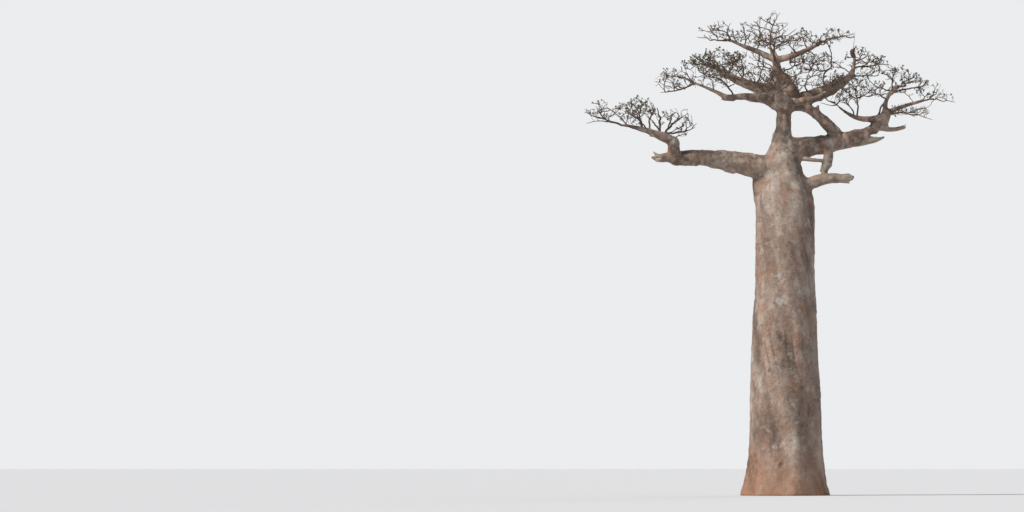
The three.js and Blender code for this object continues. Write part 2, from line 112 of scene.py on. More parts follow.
# guide branches inside the masses, in the same terms
GUIDES = {
    "t_stem": ("top_mid_limb", 0.51, 0, -17.8, 79.4, 0.97, 0.06, -0.05, (0.075, 0.06, 0.045)),
    "t_left": ("t_stem", 0.97, 0, -162, 23.5, 0.88, 0.08, 0, (0.045, 0.035, 0.025)),
    "t_right": ("t_stem", 1, 0, 28.7, 56.1, 0.75, 0.07, 0.04, (0.04, 0.03, 0.02)),
    "t_b2": ("t_stem", 1, 0, 40.2, 12.8, 0.71, -0.02, 0.02, (0.035, 0.03, 0.02)),
    "t_b3": ("top_mid_limb", 0.94, 0, -39.2, 18.7, 1.1, -0.18, 0.05, (0.045, 0.035, 0.02)),
    "t_b4": ("top_mid_limb", 0.95, 0, -140.6, 12.8, 1.22, -0.01, 0.07, (0.04, 0.03, 0.02)),
    "t_b5": ("top_mid_limb", 0.69, 0, 30.5, 20.2, 1.71, -0.16, 0.07, (0.05, 0.035, 0.02)),
    "t_b6": ("top_mid_limb", 0.55, 0, 139.7, 37.3, 1.46, -0.18, 0.05, (0.05, 0.035, 0.02)),
    "ul_out": ("top_left_limb", 1, 0, 161.9, 7.4, 1.79, -0.04, -0.04, (0.076, 0.05, 0.02)),
    "ul_v1": ("top_left_limb", 1, 0, -93.1, 73.7, 0.89, 0.01, -0.13, (0.05, 0.035, 0.02)),
    "ul_v2": ("ul_out", 0.36, 0, 102.8, 57, 0.97, 0.02, 0.13, (0.045, 0.03, 0.02)),
    "ul_v3": ("top_left_limb", 0.7, 0, -95.4, 60.3, 1.09, 0.01, 0.09, (0.06, 0.04, 0.02)),
    "ul_v4": ("top_left_limb", 0.45, 0, 92.2, 55.2, 1.3, 0, -0.26, (0.06, 0.04, 0.02)),
    "ul_d": ("top_left_limb", 0.85, 0, 114.5, 21.6, 1.84, 0.03, -0.14, (0.055, 0.04, 0.02)),
    "ur_out": ("top_right_limb", 1, 0, -16.9, 15, 1.77, 0.06, -0.01, (0.095, 0.07, 0.025)),
    "ur_v1": ("top_right_limb", 0.51, 0, -121.9, 46.4, 1.1, -0.04, -0.15, (0.06, 0.04, 0.02)),
    "ur_v2": ("top_right_limb", 0.77, 0, 84.7, 53.1, 1.08, 0.07, 0.19, (0.06, 0.04, 0.02)),
    "ur_v3": ("ur_out", 0.06, 0, -55.9, 37.2, 1.01, 0.05, 0, (0.05, 0.035, 0.02)),
    "ur_d": ("top_right_limb", 1, 0, -58.3, 6.1, 1.77, -0.05, -0.15, (0.055, 0.04, 0.02)),
    "ur_e": ("top_right_limb", 0.66, 0, 52.6, 26, 1.91, -0.05, 0.11, (0.055, 0.04, 0.02)),
    "lh_out": ("left_high_limb", 1, 0, -159.6, 8, 1.75, 0.05, 0.06, (0.085, 0.06, 0.025)),
    "lh_v1": ("left_high_limb", 1, 0, 98.3, 61.7, 1.06, 0.02, 0.16, (0.075, 0.05, 0.025)),
    "lh_v2": ("left_high_limb", 0.81, 0, -96.3, 50.2, 1.23, 0.15, 0.22, (0.08, 0.055, 0.025)),
    "lh_v3": ("left_high_limb", 0.61, 0, 85.2, 63.4, 1.38, 0.1, -0.16, (0.08, 0.05, 0.025)),
    "lh_v4": ("lh_out", 0.33, 0, -134, 25.6, 1.16, 0.09, -0.02, (0.06, 0.045, 0.02)),
    "lh_d": ("left_high_limb", 0.91, 0, -119.7, 9.6, 1.97, 0.05, 0.16, (0.07, 0.05, 0.02)),
    "lh_u": ("left_high_limb", 0.36, 0, 86.7, 64.2, 1.48, 0.01, -0.15, (0.075, 0.05, 0.025)),
    "ll_up": ("left_low_reach", 1, 0, 166.4, 15.2, 1.54, 0.09, -0.03, (0.071, 0.05, 0.02)),
    "ll_dn": ("left_low_reach", 0.93, 0, -174.5, -14.8, 1.85, -0.04, 0.01, (0.066, 0.045, 0.02)),
    "ll_v1": ("left_low_reach", 1, 0, 120.7, 38.2, 1.41, -0.02, 0.06, (0.061, 0.04, 0.02)),
    "ll_mid": ("left_low_limb", 0.81, 0, -167.8, 51.5, 1.09, 0.01, 0.02, (0.08, 0.065, 0.035)),
    "ll_mid2": ("ll_mid", 0.54, 0, 74.5, 38.3, 1.13, -0.05, -0.23, (0.05, 0.035, 0.02)),
    "ll_mid3": ("ll_mid", 0.95, 0, -143.6, 8.8, 1.03, 0.05, -0.02, (0.045, 0.035, 0.02)),
    "ri_a": ("right_crown_limb", 0.21, 0, 113.5, 66, 1.45, 0.08, 0, (0.06, 0.04, 0.02)),
    "ri_b": ("right_crown_limb", 0.41, 0, -116.5, 64, 1.23, -0.02, -0.25, (0.065, 0.045, 0.02)),
    "ri_c": ("right_crown_limb", 0.64, 0, 66.4, 74.9, 1.22, 0.08, 0.32, (0.07, 0.05, 0.045)),
    "ri_d": ("ri_c", 1, 0, -97.9, 47.2, 1.19, 0.04, 0.07, (0.045, 0.04, 0.03)),
    "ri_e": ("ri_c", 0.97, 0, 162.7, 3.3, 1.02, -0.19, 0.05, (0.045, 0.035, 0.02)),
    "ri_f": ("leader", 0.58, 0, 31.9, 31.3, 1.99, 0.06, 0.05, (0.065, 0.045, 0.02)),
    "ri_g": ("leader", 0.46, 0, -25.7, 19.9, 1.95, 0.06, 0.01, (0.065, 0.045, 0.02)),
    "li_a": ("leader", 0.68, 0, 141.4, 31.2, 1.48, 0.09, -0.08, (0.065, 0.045, 0.02)),
    "li_b": ("leader", 0.56, 0, -135.2, 29.1, 1.63, 0.01, -0.05, (0.065, 0.045, 0.02)),
    "rc_knob": ("right_crown_rise", 0.92, 0, 170.8, 82.4, 0.35, -0.08, 0.01, (0.091, 0.121, 0.111)),
    "rc_out": ("right_crown_rise", 0.39, 0, 16.7, 7.6, 1.97, 0.06, 0.04, (0.076, 0.056, 0.02)),
    "rc_v1": ("right_crown_rise", 0.78, 0, -22.2, 23.5, 0.81, -0.08, 0.08, (0.066, 0.045, 0.02)),
    "rc_v2": ("rc_out", 0.23, 0, 43.8, 25.7, 1.45, 0, -0.08, (0.056, 0.04, 0.02)),
    "rc_l": ("right_crown_rise", 0.12, 0, -137.2, 22.4, 1.12, 0.06, -0.03, (0.061, 0.04, 0.02)),
    "rc_d": ("right_crown_rise", 0.56, 0, -44.4, 1.2, 1.51, 0.03, 0.04, (0.056, 0.04, 0.02)),
    "rc_dn": ("right_crown_limb", 1, 0, -16.3, -0.6, 1.43, -0.04, 0, (0.061, 0.045, 0.02)),
    "u_v1": ("u_limb", 0.5, 0, -115.4, 85.5, 1.02, 0.02, 0.01, (0.06, 0.05, 0.035)),
    "u_v2": ("u_limb", 0.59, 0, 167.6, 53.8, 0.88, 0.18, -0.05, (0.055, 0.05, 0.025)),
    "u_tip": ("u_limb", 1, 0, -159.2, 23.9, 1.09, -0.03, 0.03, (0.055, 0.045, 0.02)),
    "u_tip2": ("u_limb", 0.96, 0, -155, 4.6, 0.93, -0.06, 0, (0.04, 0.03, 0.02)),
    "u_n1": ("u_v1", 0.96, 0, -43.9, 30, 1.26, -0.06, 0.07, (0.045, 0.035, 0.02)),
    "u_n2": ("u_v1", 0.91, 0, 133.4, 35.4, 1.25, 0, 0.08, (0.045, 0.035, 0.02)),
    "u_n3": ("u_v1", 0.98, 0, -81.5, 41, 1.14, 0.08, -0.13, (0.04, 0.03, 0.02)),
    "rp_l": ("right_post", 0.53, 0, -160, 22, 0.95, -0.05, 0.03, (0.055, 0.04, 0.02)),
    "rp_l2": ("right_post", 0.88, 0, 170, 25, 1.28, -0.1, 0, (0.07, 0.05, 0.02)),
    "rp_tri": ("u_limb", 0.24, 0, 17, 50, 1.10, -0.08, 0, (0.11, 0.085, 0.08)),
    "rf_up": ("right_post", 0.85, 0, 39.2, 86, 1.2, 0.05, -0.04, (0.061, 0.045, 0.02)),
    "rf_a": ("right_post", 0.8, 0, 16.4, 14.5, 2.1, -0.03, -0.03, (0.076, 0.061, 0.02)),
    "rf_b": ("right_post", 1, 0, 22, 31.6, 0.95, 0.05, -0.01, (0.076, 0.061, 0.04)),
    "rf_c": ("right_post", 1, 0, -39.3, 18.3, 1.08, 0, 0.11, (0.061, 0.04, 0.02)),
    "rf_d": ("right_post", 1, 0, 54.8, 13.8, 1.57, 0.02, -0.01, (0.056, 0.041, 0.02)),
    "rt_a": ("right_reach", 0.94, 0, 46.2, 51, 0.74, -0.01, -0.03, (0.046, 0.035, 0.02)),
    "rt_b": ("right_reach", 0.99, 0, 17.9, -5.4, 1.32, 0.01, 0, (0.051, 0.035, 0.018)),
    "rt_c": ("right_reach", 0.77, 0, -44.6, 27.8, 0.73, 0.06, -0.02, (0.04, 0.03, 0.02)),
    "run_a": ("right_shoulder", 0.96, 0, -11, -7.9, 2.35, 0.13, -0.08, (0.066, 0.045, 0.018)),
    "run_b": ("run_a", 0.37, 0, 13.9, 17.1, 1.51, -0.06, -0.01, (0.045, 0.035, 0.018)),
    "run_c": ("run_a", 0.24, 0, -43.9, -1.8, 1.34, 0.01, -0.07, (0.04, 0.03, 0.018)),
    "la_out": ("left_arm", 1, 0, -164.6, 14, 1.65, -0.02, 0.02, (0.094, 0.079, 0.055)),
    "la_out2": ("la_out", 1, 0, -163.6, 17.4, 0.93, -0.05, -0.03, (0.05, 0.035, 0.017)),
    "la_out3": ("la_out", 0.65, 0, 174.7, -3.5, 1.3, 0.03, -0.01, (0.04, 0.03, 0.016)),
    "la_out4": ("la_out", 0.91, 0, -75.7, 60.9, 0.81, 0.07, -0.23, (0.04, 0.03, 0.017)),
    "la_v1": ("left_arm", 0.36, 0, 120.2, 82.3, 1.4, 0.04, -0.05, (0.08, 0.065, 0.03)),
    "la_v2": ("left_arm", 0.58, 0, -65, 69.5, 1.01, 0.09, -0.09, (0.07, 0.06, 0.03)),
    "la_v3": ("left_arm", 0.76, 0, 159.1, 46.9, 1.09, 0.16, -0.04, (0.08, 0.07, 0.03)),
    "la_v4": ("la_v3", 0.25, 0, -71.6, 65.5, 1.13, -0.01, -0.14, (0.06, 0.05, 0.035)),
    "la_v5": ("la_out", 0.17, 0, 144.7, 41.1, 1.17, 0.05, 0.05, (0.055, 0.04, 0.02)),
    "la_d": ("left_arm", 0.68, 0, -118, 29.2, 1.58, 0.05, 0.08, (0.06, 0.045, 0.02)),
    "la_e": ("la_v1", 0.19, 0, 121.5, 34.7, 1.69, -0.01, -0.01, (0.065, 0.045, 0.02)),
    "lr_a": ("left_arm", 0.27, 0, 14.3, 44.6, 1.48, 0.13, 0, (0.075, 0.065, 0.03)),
    "lr_b": ("lr_a", 0.14, 0, -10, 9.4, 1.54, -0.05, 0.04, (0.065, 0.05, 0.02)),
    "lr_c": ("left_riser", 1, 0, 39.4, 23.6, 1.1, 0.05, -0.08, (0.04, 0.03, 0.015)),
    "lr_f": ("lr_b", 0.3, 0, 25, 24, 1.15, -0.05, 0, (0.04, 0.03, 0.014)),
    "lr_g": ("lr_b", 0.12, 0, -20, 33, 1.25, -0.08, 0, (0.045, 0.03, 0.014)),
    "lr_h": ("lr_b", 0.62, 0, 5, 30, 0.75, -0.04, 0, (0.035, 0.025, 0.013)),
    "lr_d": ("lr_a", 0.34, 0, -68.5, 40.6, 1.14, 0.02, -0.07, (0.06, 0.045, 0.02)),
    "lr_e": ("lr_a", 0.58, 0, 73.4, 29.3, 1.23, -0.02, -0.12, (0.05, 0.04, 0.02)),
    "f_a": ("front_limb", 1, 0, -126.6, 22.1, 1.75, -0.01, 0.07, (0.079, 0.054, 0.02)),
    "f_b": ("front_limb", 1, 0, -53.3, 17.5, 1.57, -0.01, -0.14, (0.079, 0.054, 0.02)),
    "f_c": ("front_limb", 0.85, 0, -30, 37.6, 1.64, -0.04, 0.16, (0.064, 0.044, 0.02)),
    "f_d": ("front_limb", 0.77, 0, -142.8, 50.9, 1.3, 0.1, -0.02, (0.064, 0.044, 0.02)),
    "b_a": ("back_limb", 1, 0, 122.9, 31.6, 1.83, 0, -0.08, (0.082, 0.057, 0.021)),
    "b_b": ("back_limb", 1, 0, 47.3, 24.3, 1.8, 0, 0.14, (0.082, 0.057, 0.021)),
    "b_c": ("back_limb", 0.86, 0, 35.2, 46.4, 1.58, 0.04, -0.07, (0.067, 0.046, 0.021)),
    "b_d": ("back_limb", 0.78, 0, 157.1, 41.7, 1.69, -0.08, 0.14, (0.066, 0.046, 0.02)),
}

LATE = {
    "rc_shoot": ("rc_knob", 1.0, 0, 2, 85, 0.93, 0.0, 0.0, (0.022, 0.017, 0.011)),
    "dead_hook": ("right_dead_stub", 0.93, 0, 12, 44, 0.27, -0.05, 0.02, (0.05, 0.034, 0.016)),
}

# ------------------------------------------------------------------ the masses
# name: (middle, half widths, up, down, lean)
MASSES = {
    "crown_top": ((-0.75, -0.05, 23.37), (1.02, 0.98), 0.85, 0.9, 0),
    "top_left_mass": ((-3.3, 1.1, 23.2), (1.11, 1.16), 0.63, 0.35, -0.1),
    "top_left_inner": ((-1.92, 0.5, 23.05), (0.74, 0.91), 0.65, 0.45, -0.2),
    "top_right_mass": ((2.29, -1.01, 22.77), (1.05, 1.1), 0.57, 0.45, 0.15),
    "top_right_inner": ((0.95, -0.45, 22.8), (0.78, 1), 0.6, 0.55, -0.1),
    "front_top_mass": ((-0.72, -2.85, 22.4), (1.09, 1.24), 0.54, 0.45, 0),
    "back_top_mass": ((-0.25, 2.98, 22.98), (1.12, 1.28), 0.56, 0.46, 0),
    "left_high_mass": ((-3.68, -1.43, 21.52), (1.54, 1.4), 0.65, 0.5, 0.12),
    "left_low_mass": ((-5.38, 1.1, 20.86), (1.12, 1.11), 0.75, 0.66, 0),
    "left_low_inner": ((-3.44, 0.5, 20.86), (0.75, 0.86), 0.35, 0.5, -0.1),
    "left_inner_mass": ((-1.85, -0.4, 21.62), (0.95, 1), 0.55, 0.7, 0),
    "right_inner_high": ((1.5, 0.4, 21.76), (1.6, 1.21), 0.45, 0.6, 0),
    "right_inner_low": ((1.4, 0.6, 20.78), (1.3, 1.11), 0.45, 0.55, 0.1),
    "right_crown_mass": ((4.33, 1.26, 21.79), (1.25, 1.16), 0.68, 0.78, -0.22),
    "right_mid_mass": ((3.75, 0.1, 20.32), (1.7, 1.2), 0.85, 0.74, 0),
    "right_far_mass": ((6.42, 1.51, 20.78), (1.15, 1.06), 0.71, 0.72, -0.27),
    "right_tip_mass": ((8.02, 1.87, 20.25), (0.76, 0.76), 0.51, 0.46, -0.25),
    "right_under_mass": ((6.39, 0.81, 19.27), (1.11, 0.76), 0.4, 0.35, 0),
    "low_left_tip": ((-9.29, -2.42, 18.97), (0.74, 0.79), 0.62, 0.45, 0.02),
    "low_left_mass": ((-7.49, -1.93, 19.05), (1.14, 1.04), 0.6, 0.7, -0.06),
    "low_right_mass": ((-5.45, -1.34, 18.6), (0.9, 0.9), 0.7, 0.88, -0.16),
    "front_mass": ((-0.8, -4.8, 20.22), (1.37, 1.6), 0.68, 0.59, 0),
    "back_mass": ((-0.1, 4.92, 20.8), (1.44, 1.68), 0.72, 0.62, 0),
    "front_left_mass": ((-2.9, -3.6, 20.7), (1.23, 1.38), 0.59, 0.49, 0),
    "back_right_mass": ((2.9, 3.7, 20.92), (1.28, 1.42), 0.61, 0.51, 0),
    "front_right_mass": ((2.15, -3.3, 20.25), (1.03, 1.3), 0.49, 0.44, 0),
    "back_left_mass": ((-2.9, 3.85, 21.62), (1.23, 1.42), 0.56, 0.51, 0),
}
# how full each mass is of twigs, and how leafy: 1 is the common amount
FILL = {
    "crown_top": (0.12, 0.7), "top_left_mass": (0.22, 0.9), "top_left_inner": (0.37, 0.9), "top_right_mass": (0.23, 1.0),
    "top_right_inner": (0.324, 0.9), "front_top_mass": (0.26, 0.8), "back_top_mass": (0.3, 0.8), "left_high_mass": (0.731, 1.7),
    "left_low_mass": (0.43, 0.6), "left_low_inner": (0.484, 0.7), "left_inner_mass": (0.51, 0.6), "right_inner_high": (0.73, 0.7),
    "right_inner_low": (0.1, 0.6), "right_crown_mass": (0.32, 1.5), "right_mid_mass": (0.518, 0.6), "right_far_mass": (0.672, 1.5),
    "right_tip_mass": (0.17, 0.9), "right_under_mass": (0.5, 0.5), "low_left_tip": (0.36, 0.7), "low_left_mass": (0.78, 1.3),
    "low_right_mass": (0.21, 1.1), "front_mass": (0.4, 0.8), "back_mass": (0.42, 0.8), "front_left_mass": (0.36, 0.8),
    "back_right_mass": (0.28, 0.8), "front_right_mass": (0.24, 0.8), "back_left_mass": (0.36, 0.8)}

rng = np.random.default_rng(SEED)


# ------------------------------------------------------------------ small tools
def ease(value, start, end):
    t = np.clip((value - start) / (end - start), 0.0, 1.0)
    return t * t * (3.0 - 2.0 * t)


def unit(v):
    return v / np.maximum(np.linalg.norm(v, axis=-1, keepdims=True), 1e-9)


def lattice(ix, iy, iz, seed):
    """A fixed number from 0 to 1 for each whole-numbered point of space."""
    h = (ix.astype(np.int64) * 374761393 + iy.astype(np.int64) * 668265263
         + iz.astype(np.int64) * 2147483647 + seed * 1274126177) & 0xFFFFFFFF
    h = ((h ^ (h >> 13)) * 1274126177) & 0xFFFFFFFF
    h = ((h ^ (h >> 16)) * 2246822519) & 0xFFFFFFFF
    return ((h ^ (h >> 15)) & 0xFFFFFF).astype(np.float64) / 16777215.0


def noise(p, seed=0):
    """Smooth noise from -1 to 1 at points p (n, 3)."""
    base = np.floor(p)
    f = p - base
    f = f * f * f * (f * (f * 6 - 15) + 10)
    b = base.astype(np.int64)
    total = np.zeros(len(p))
    for dx in (0, 1):
        wx = f[:, 0] if dx else 1 - f[:, 0]
        for dy in (0, 1):
            wy = f[:, 1] if dy else 1 - f[:, 1]
            for dz in (0, 1):
                wz = f[:, 2] if dz else 1 - f[:, 2]
                total += wx * wy * wz * lattice(b[:, 0] + dx, b[:, 1] + dy, b[:, 2] + dz, seed)
    return total * 2 - 1


def layered(p, seed=0, octaves=3):
    total, weight = np.zeros(len(p)), 1.0
    for k in range(octaves):
        total += weight * noise(p * 2.03 ** k + 17.3 * k, seed + k)
        weight *= 0.5
    return total


def spots(p, seed=0, share=0.5):
    """Distance to the nearest scattered spot, and that spot's own number."""
    base = np.floor(p).astype(np.int64)
    best = np.full(len(p), 9.0)
    mark = np.zeros(len(p))
    for dx in (-1, 0, 1):
        for dy in (-1, 0, 1):
            for dz in (-1, 0, 1):
                c = base + (dx, dy, dz)
                q = np.stack([lattice(c[:, 0], c[:, 1], c[:, 2], seed + k) for k in (1, 2, 3)], 1) + c
                keep = lattice(c[:, 0], c[:, 1], c[:, 2], seed + 4)
                d = np.where(keep < share, np.linalg.norm(p - q, axis=1), 9.0)
                near = d < best
                best = np.where(near, d, best)
                mark = np.where(near, keep / share, mark)
    return best, mark


# --------------------------------------------------------------- lines of limbs
class Line:
    """The middle line of one limb, bowed, with a radius along it."""

    def __init__(self, name, start, spec):
        _, _, _, heading, rise, length, lift, side, radius = spec
        h, r = math.radians(heading), math.radians(rise)
        forward = np.array([math.cos(r) * math.cos(h), math.cos(r) * math.sin(h), math.sin(r)])
        left = np.array([-math.sin(h), math.cos(h), 0.0])
        up = np.cross(forward, left)
        self.name, self.start, self.end = name, start, start + forward * length
        self.bow = up * lift + left * side
        self.left, self.length, self.radius = left, length, radius
        self.crook = CROOKED.get(name, 0.03 if name in LIMBS else 0.0)

    def at(self, t):
        t = np.asarray(t, float)[..., None]
        smooth = self.start * (1 - t) + self.end * t + 4 * t * (1 - t) * self.bow
        if not self.crook:
            return smooth
        flat = smooth.reshape(-1, 3)
        swing = np.stack([noise(flat * 0.85 + 11.0 * k + len(self.name), 91 + k)
                          + 0.5 * noise(flat * 2.1 + 7.0 * k, 95 + k) for k in range(3)], 1).reshape(smooth.shape)
        return smooth + self.crook * np.sin(math.pi * t) * swing

    def thick(self, t):
        a, m, b = self.radius
        t = np.asarray(t, float)
        return a * (1 - t) + b * t + 4 * t * (1 - t) * (m - (a + b) / 2)

    def points(self, gap=0.1):
        n = max(3, int(self.length / gap) + 1)
        t = np.linspace(0, 1, n)
        return self.at(t), self.thick(t)


LINES = {}


def add_lines(table):
    for name, spec in table.items():
        on, at, out, heading = spec[:4]
        if on == "trunk":
            h = math.radians(heading)
            shift = -0.225 if name == "neck" else 0.0
            start = np.array([math.cos(h) * out + shift, math.sin(h) * out, at])
        else:
            start = LINES[on].at(at)
        LINES[name] = Line(name, start, spec)


add_lines(LIMBS)
add_lines(GUIDES)


# -------------------------------------------------- the wood as a distance field
def trunk_radius(height, turn):
    """Radius of the trunk at a height and a heading in radians."""
    belly = (BELLY_RADIUS - COLUMN_RADIUS) * (1 - ease(height, BELLY_BOTTOM, BELLY_TOP))
    shoulder = (COLUMN_RADIUS - FORK_RADIUS) * ease(height, SHOULDER_HEIGHT, FORK_HEIGHT - 0.1)
    roots = FLARE_OUT
    for heading, out, spread in ROOTS:
        off = np.mod(np.degrees(turn) - heading + 180, 360) - 180
        roots = roots + out * np.exp(-(off / spread) ** 2)
    folds = 0.012 * np.sin(5 * turn + 0.7) + 0.008 * np.sin(8 * turn + 0.157 * height)
    folds = folds + 0.045 * np.exp(-((height - 8.2) / 2.4) ** 2) * np.clip(-np.cos(turn), 0, 1)
    folds = folds + 0.055 * np.exp(-((height - 12.6) / 2.6) ** 2) * np.clip(np.cos(turn), 0, 1)
    return COLUMN_RADIUS + belly - shoulder + roots * np.exp(-height / FLARE_RISE) + folds


def trunk_field(x, y, z):
    lean = FORK_LEAN * ease(z, SHOULDER_HEIGHT, FORK_HEIGHT)
    dx, dy = x - lean, y / DEPTH_RATIO
    side = np.hypot(dx, dy) - trunk_radius(np.clip(z, 0, FORK_HEIGHT), np.arctan2(dy, dx))
    top = z - FORK_HEIGHT
    # a rounded rim where the fork's top meets the sides
    soft = 0.35
    h = np.clip(soft - np.abs(side - top), 0, None) / soft
    return np.maximum(side, top) + h * h * soft * 0.25


def line_field(pts, rad, x, y, z):
    best = np.full(np.broadcast(x, y, z).shape, 9.0, np.float32)
    for (a, b, ra, rb) in zip(pts[:-1], pts[1:], rad[:-1], rad[1:]):
        d = b - a
        px, py, pz = x - a[0], y - a[1], z - a[2]
        t = np.clip((px * d[0] + py * d[1] + pz * d[2]) / float(d @ d), 0, 1)
        q = np.sqrt((px - t * d[0]) ** 2 + (py - t * d[1]) ** 2 + (pz - t * d[2]) ** 2)
        best = np.minimum(best, q - (ra + (rb - ra) * t))
    return best


def cut_end(name, field, x, y, z):
    """Takes a jagged break out of the end of a limb."""
    line = LINES[name]
    t = unit(line.end - line.at(0.93))
    across = unit(line.left - t * (line.left @ t))
    over = np.cross(across, t)
    px, py, pz = x - line.end[0], y - line.end[1], z - line.end[2]
    s = px * t[0] + py * t[1] + pz * t[2]
    u = (px * across[0] + py * across[1] + pz * across[2]) / line.radius[2]
    v = (px * over[0] + py * over[1] + pz * over[2]) / line.radius[2]
    flat = np.stack([u.ravel() * 1.6 + 5, v.ravel() * 1.6 + 9, s.ravel() * 0.8], 1)
    jag = layered(flat, 77 + len(name), 2).reshape(s.shape)
    depth = RAGGED[name]
    reach = depth * (0.25 + 0.85 * jag + 0.35 * v)
    return np.maximum(field, (s - reach) * 0.75)


# swellings, snags and spurs: (one end, radius, other end, radius)
SNAGS = (
    ((1.68, 0.16, 19.20), 0.080, (1.715, 0.15, 19.51), 0.085),      # knob on the strut
    ((2.26, -0.08, 16.95), 0.11, (2.25, -0.18, 16.52), 0.135),      # elbow of the hanging spur
    ((1.56, 0.26, 19.16), 0.175, (2.22, 0.36, 18.40), 0.195),       # thicker under the strut
    ((-6.40, -1.43, 16.88), 0.09, (-6.62, -1.48, 17.08), 0.035),    # prong on the broken bough
    ((-5.48, -1.15, 16.66), 0.25, (-4.60, -1.00, 16.70), 0.27),     # sag under the bough
    ((-2.93, -0.70, 16.26), 0.16, (-2.60, -0.65, 16.20), 0.17),
    ((-1.12, -0.10, 14.90), 0.43, (-1.22, -0.15, 15.62), 0.40),     # corner under the bough
    ((0.05, 0.00, 20.90), 0.25, (0.32, 0.00, 20.25), 0.40),         # flare of the leader
    ((-2.50, 0.57, 19.86), 0.10, (-3.17, 0.60, 19.85), 0.030),      # spur under the low limb
    ((5.10, 1.00, 18.60), 0.22, (5.20, 1.02, 19.15), 0.19),         # foot of the post
    ((5.55, 1.13, 20.32), 0.10, (5.70, 1.14, 20.50), 0.125),        # knot where the post forks
    ((-6.60, -1.64, 17.95), 0.10, (-6.80, -1.66, 17.83), 0.03),     # prong under the arm
    ((-5.52, -1.38, 17.50), 0.13, (-5.50, -1.38, 17.71), 0.09),     # corner of the riser
    ((-1.08, 0.00, 19.90), 0.20, (-0.58, 0.00, 19.63), 0.25),       # burr under the head of the neck
    ((3.02, -0.58, 15.85), 0.14, (3.20, -0.60, 15.98), 0.07),       # broken stub's upper lip
    ((1.25, 0.10, 14.30), 0.25, (1.22, 0.12, 13.30), 0.24),         # swelling under the stub
)
# joins that stay sharp
SOFT = {"right_split_stub": 0.05, "right_dead_stub": 0.08, "dead_bar": 0.08, "left_riser": 0.12,
        "left_low_limb": 0.12, "front_limb": 0.32, "back_limb": 0.20, "crown_strut": 0.12,
        "front_left_limb": 0.10, "front_right_limb": 0.10, "back_left_limb": 0.10, "back_right_limb": 0.10}


def soft_min(a, b, k):
    h = np.clip(k - np.abs(a - b), 0, None) / k
    return np.minimum(a, b) - h * h * k * 0.25


def build_field():
    ends = np.array([line.at(t) for name, line in LINES.items() if name not in GUIDES for t in (0.0, 0.5, 1.0)])
    low = np.append(ends.min(0)[:2] - 0.5, -0.16)
    high = ends.max(0) + 0.5
    size = np.ceil((high - low) / VOXEL).astype(int) + 1
    field = np.full(size, 1.0, np.float32)

    def block(a, b):
        i = np.clip(((np.asarray(a) - low) / VOXEL).astype(int), 0, size - 1)
        j = np.clip(((np.asarray(b) - low) / VOXEL).astype(int) + 2, 1, size)
        sl = tuple(slice(p, q) for p, q in zip(i, j))
        axes = [(low[k] + VOXEL * np.arange(i[k], j[k])).astype(np.float32) for k in range(3)]
        x, y, z = (axes[k].reshape([-1 if m == k else 1 for m in range(3)]) for k in range(3))
        return sl, x, y, z

    for foot in np.arange(-0.16, FORK_HEIGHT + 0.5, 3.0):
        sl, x, y, z = block((-2.9, -2.8, foot), (2.9, 2.8, min(foot + 3.0, FORK_HEIGHT + 0.5)))
        field[sl] = np.minimum(field[sl], trunk_field(x, y, z))
    for name, line in LINES.items():
        if name in GUIDES:
            continue
        n = max(5, int(line.length / 0.22) + 1)
        t = np.linspace(0, 1, n)
        pts, rad = line.at(t), line.thick(t)
        if name in RAGGED:   # run on past the end, so that the break is cut from whole wood
            way = unit(pts[-1] - pts[-2])
            pts = np.vstack([pts, pts[-1] + way * RAGGED[name] * 1.6])
            rad = np.append(rad, rad[-1] * 0.95)
        soft = SOFT.get(name, float(np.clip(0.40 * line.radius[0], 0.06, 0.20)))
        pad = rad.max() + soft + 0.12
        sl, x, y, z = block(pts.min(0) - pad, pts.max(0) + pad)
        own = line_field(pts, rad, x, y, z)
        # the limbs are lumpy; those round the head of the neck end in a ledge below
        lump = min(0.05, 0.13 * line.radius[1])
        flat = np.stack([np.broadcast_to(v, own.shape).ravel() for v in (x, y, z)], 1)
        own = own + lump * (0.7 * noise(flat * 1.9, 33) + 0.5 * noise(flat * 4.3, 34)).reshape(own.shape)
        if LIMBS[name][0] == "neck" and name != "crown_strut":
            own = np.maximum(own, (19.34 - z) * 0.8)
        if name in RAGGED:
            own = cut_end(name, own, x, y, z)
        field[sl] = soft_min(field[sl], own, soft)
    for a, ra, b, rb in SNAGS:
        pts, rad = np.array([a, b]), np.array([ra, rb])
        pad = rad.max() + 0.3
        sl, x, y, z = block(pts.min(0) - pad, pts.max(0) + pad)
        field[sl] = soft_min(field[sl], line_field(pts, rad, x, y, z), float(min(0.16, 1.6 * rb)))
    # the split between the dead stub and the shoulder above it
    sl, x, y, z = block((4.2, -0.2, 17.8), (5.3, 1.6, 18.4))
    slot = np.maximum(np.abs(z - 18.07 - 0.05 * (x - 4.3)) - 0.062, 4.36 - x) + 0 * y
    field[sl] = np.maximum(field[sl], -slot)
    # the flat cut at ground level
    z = low[2] + VOXEL * np.arange(size[2])
    field = np.maximum(field, -(z[None, None, :]).astype(np.float32))
    return field, low


CORNERS = [(i, j, k) for i in (0, 1) for j in (0, 1) for k in (0, 1)]


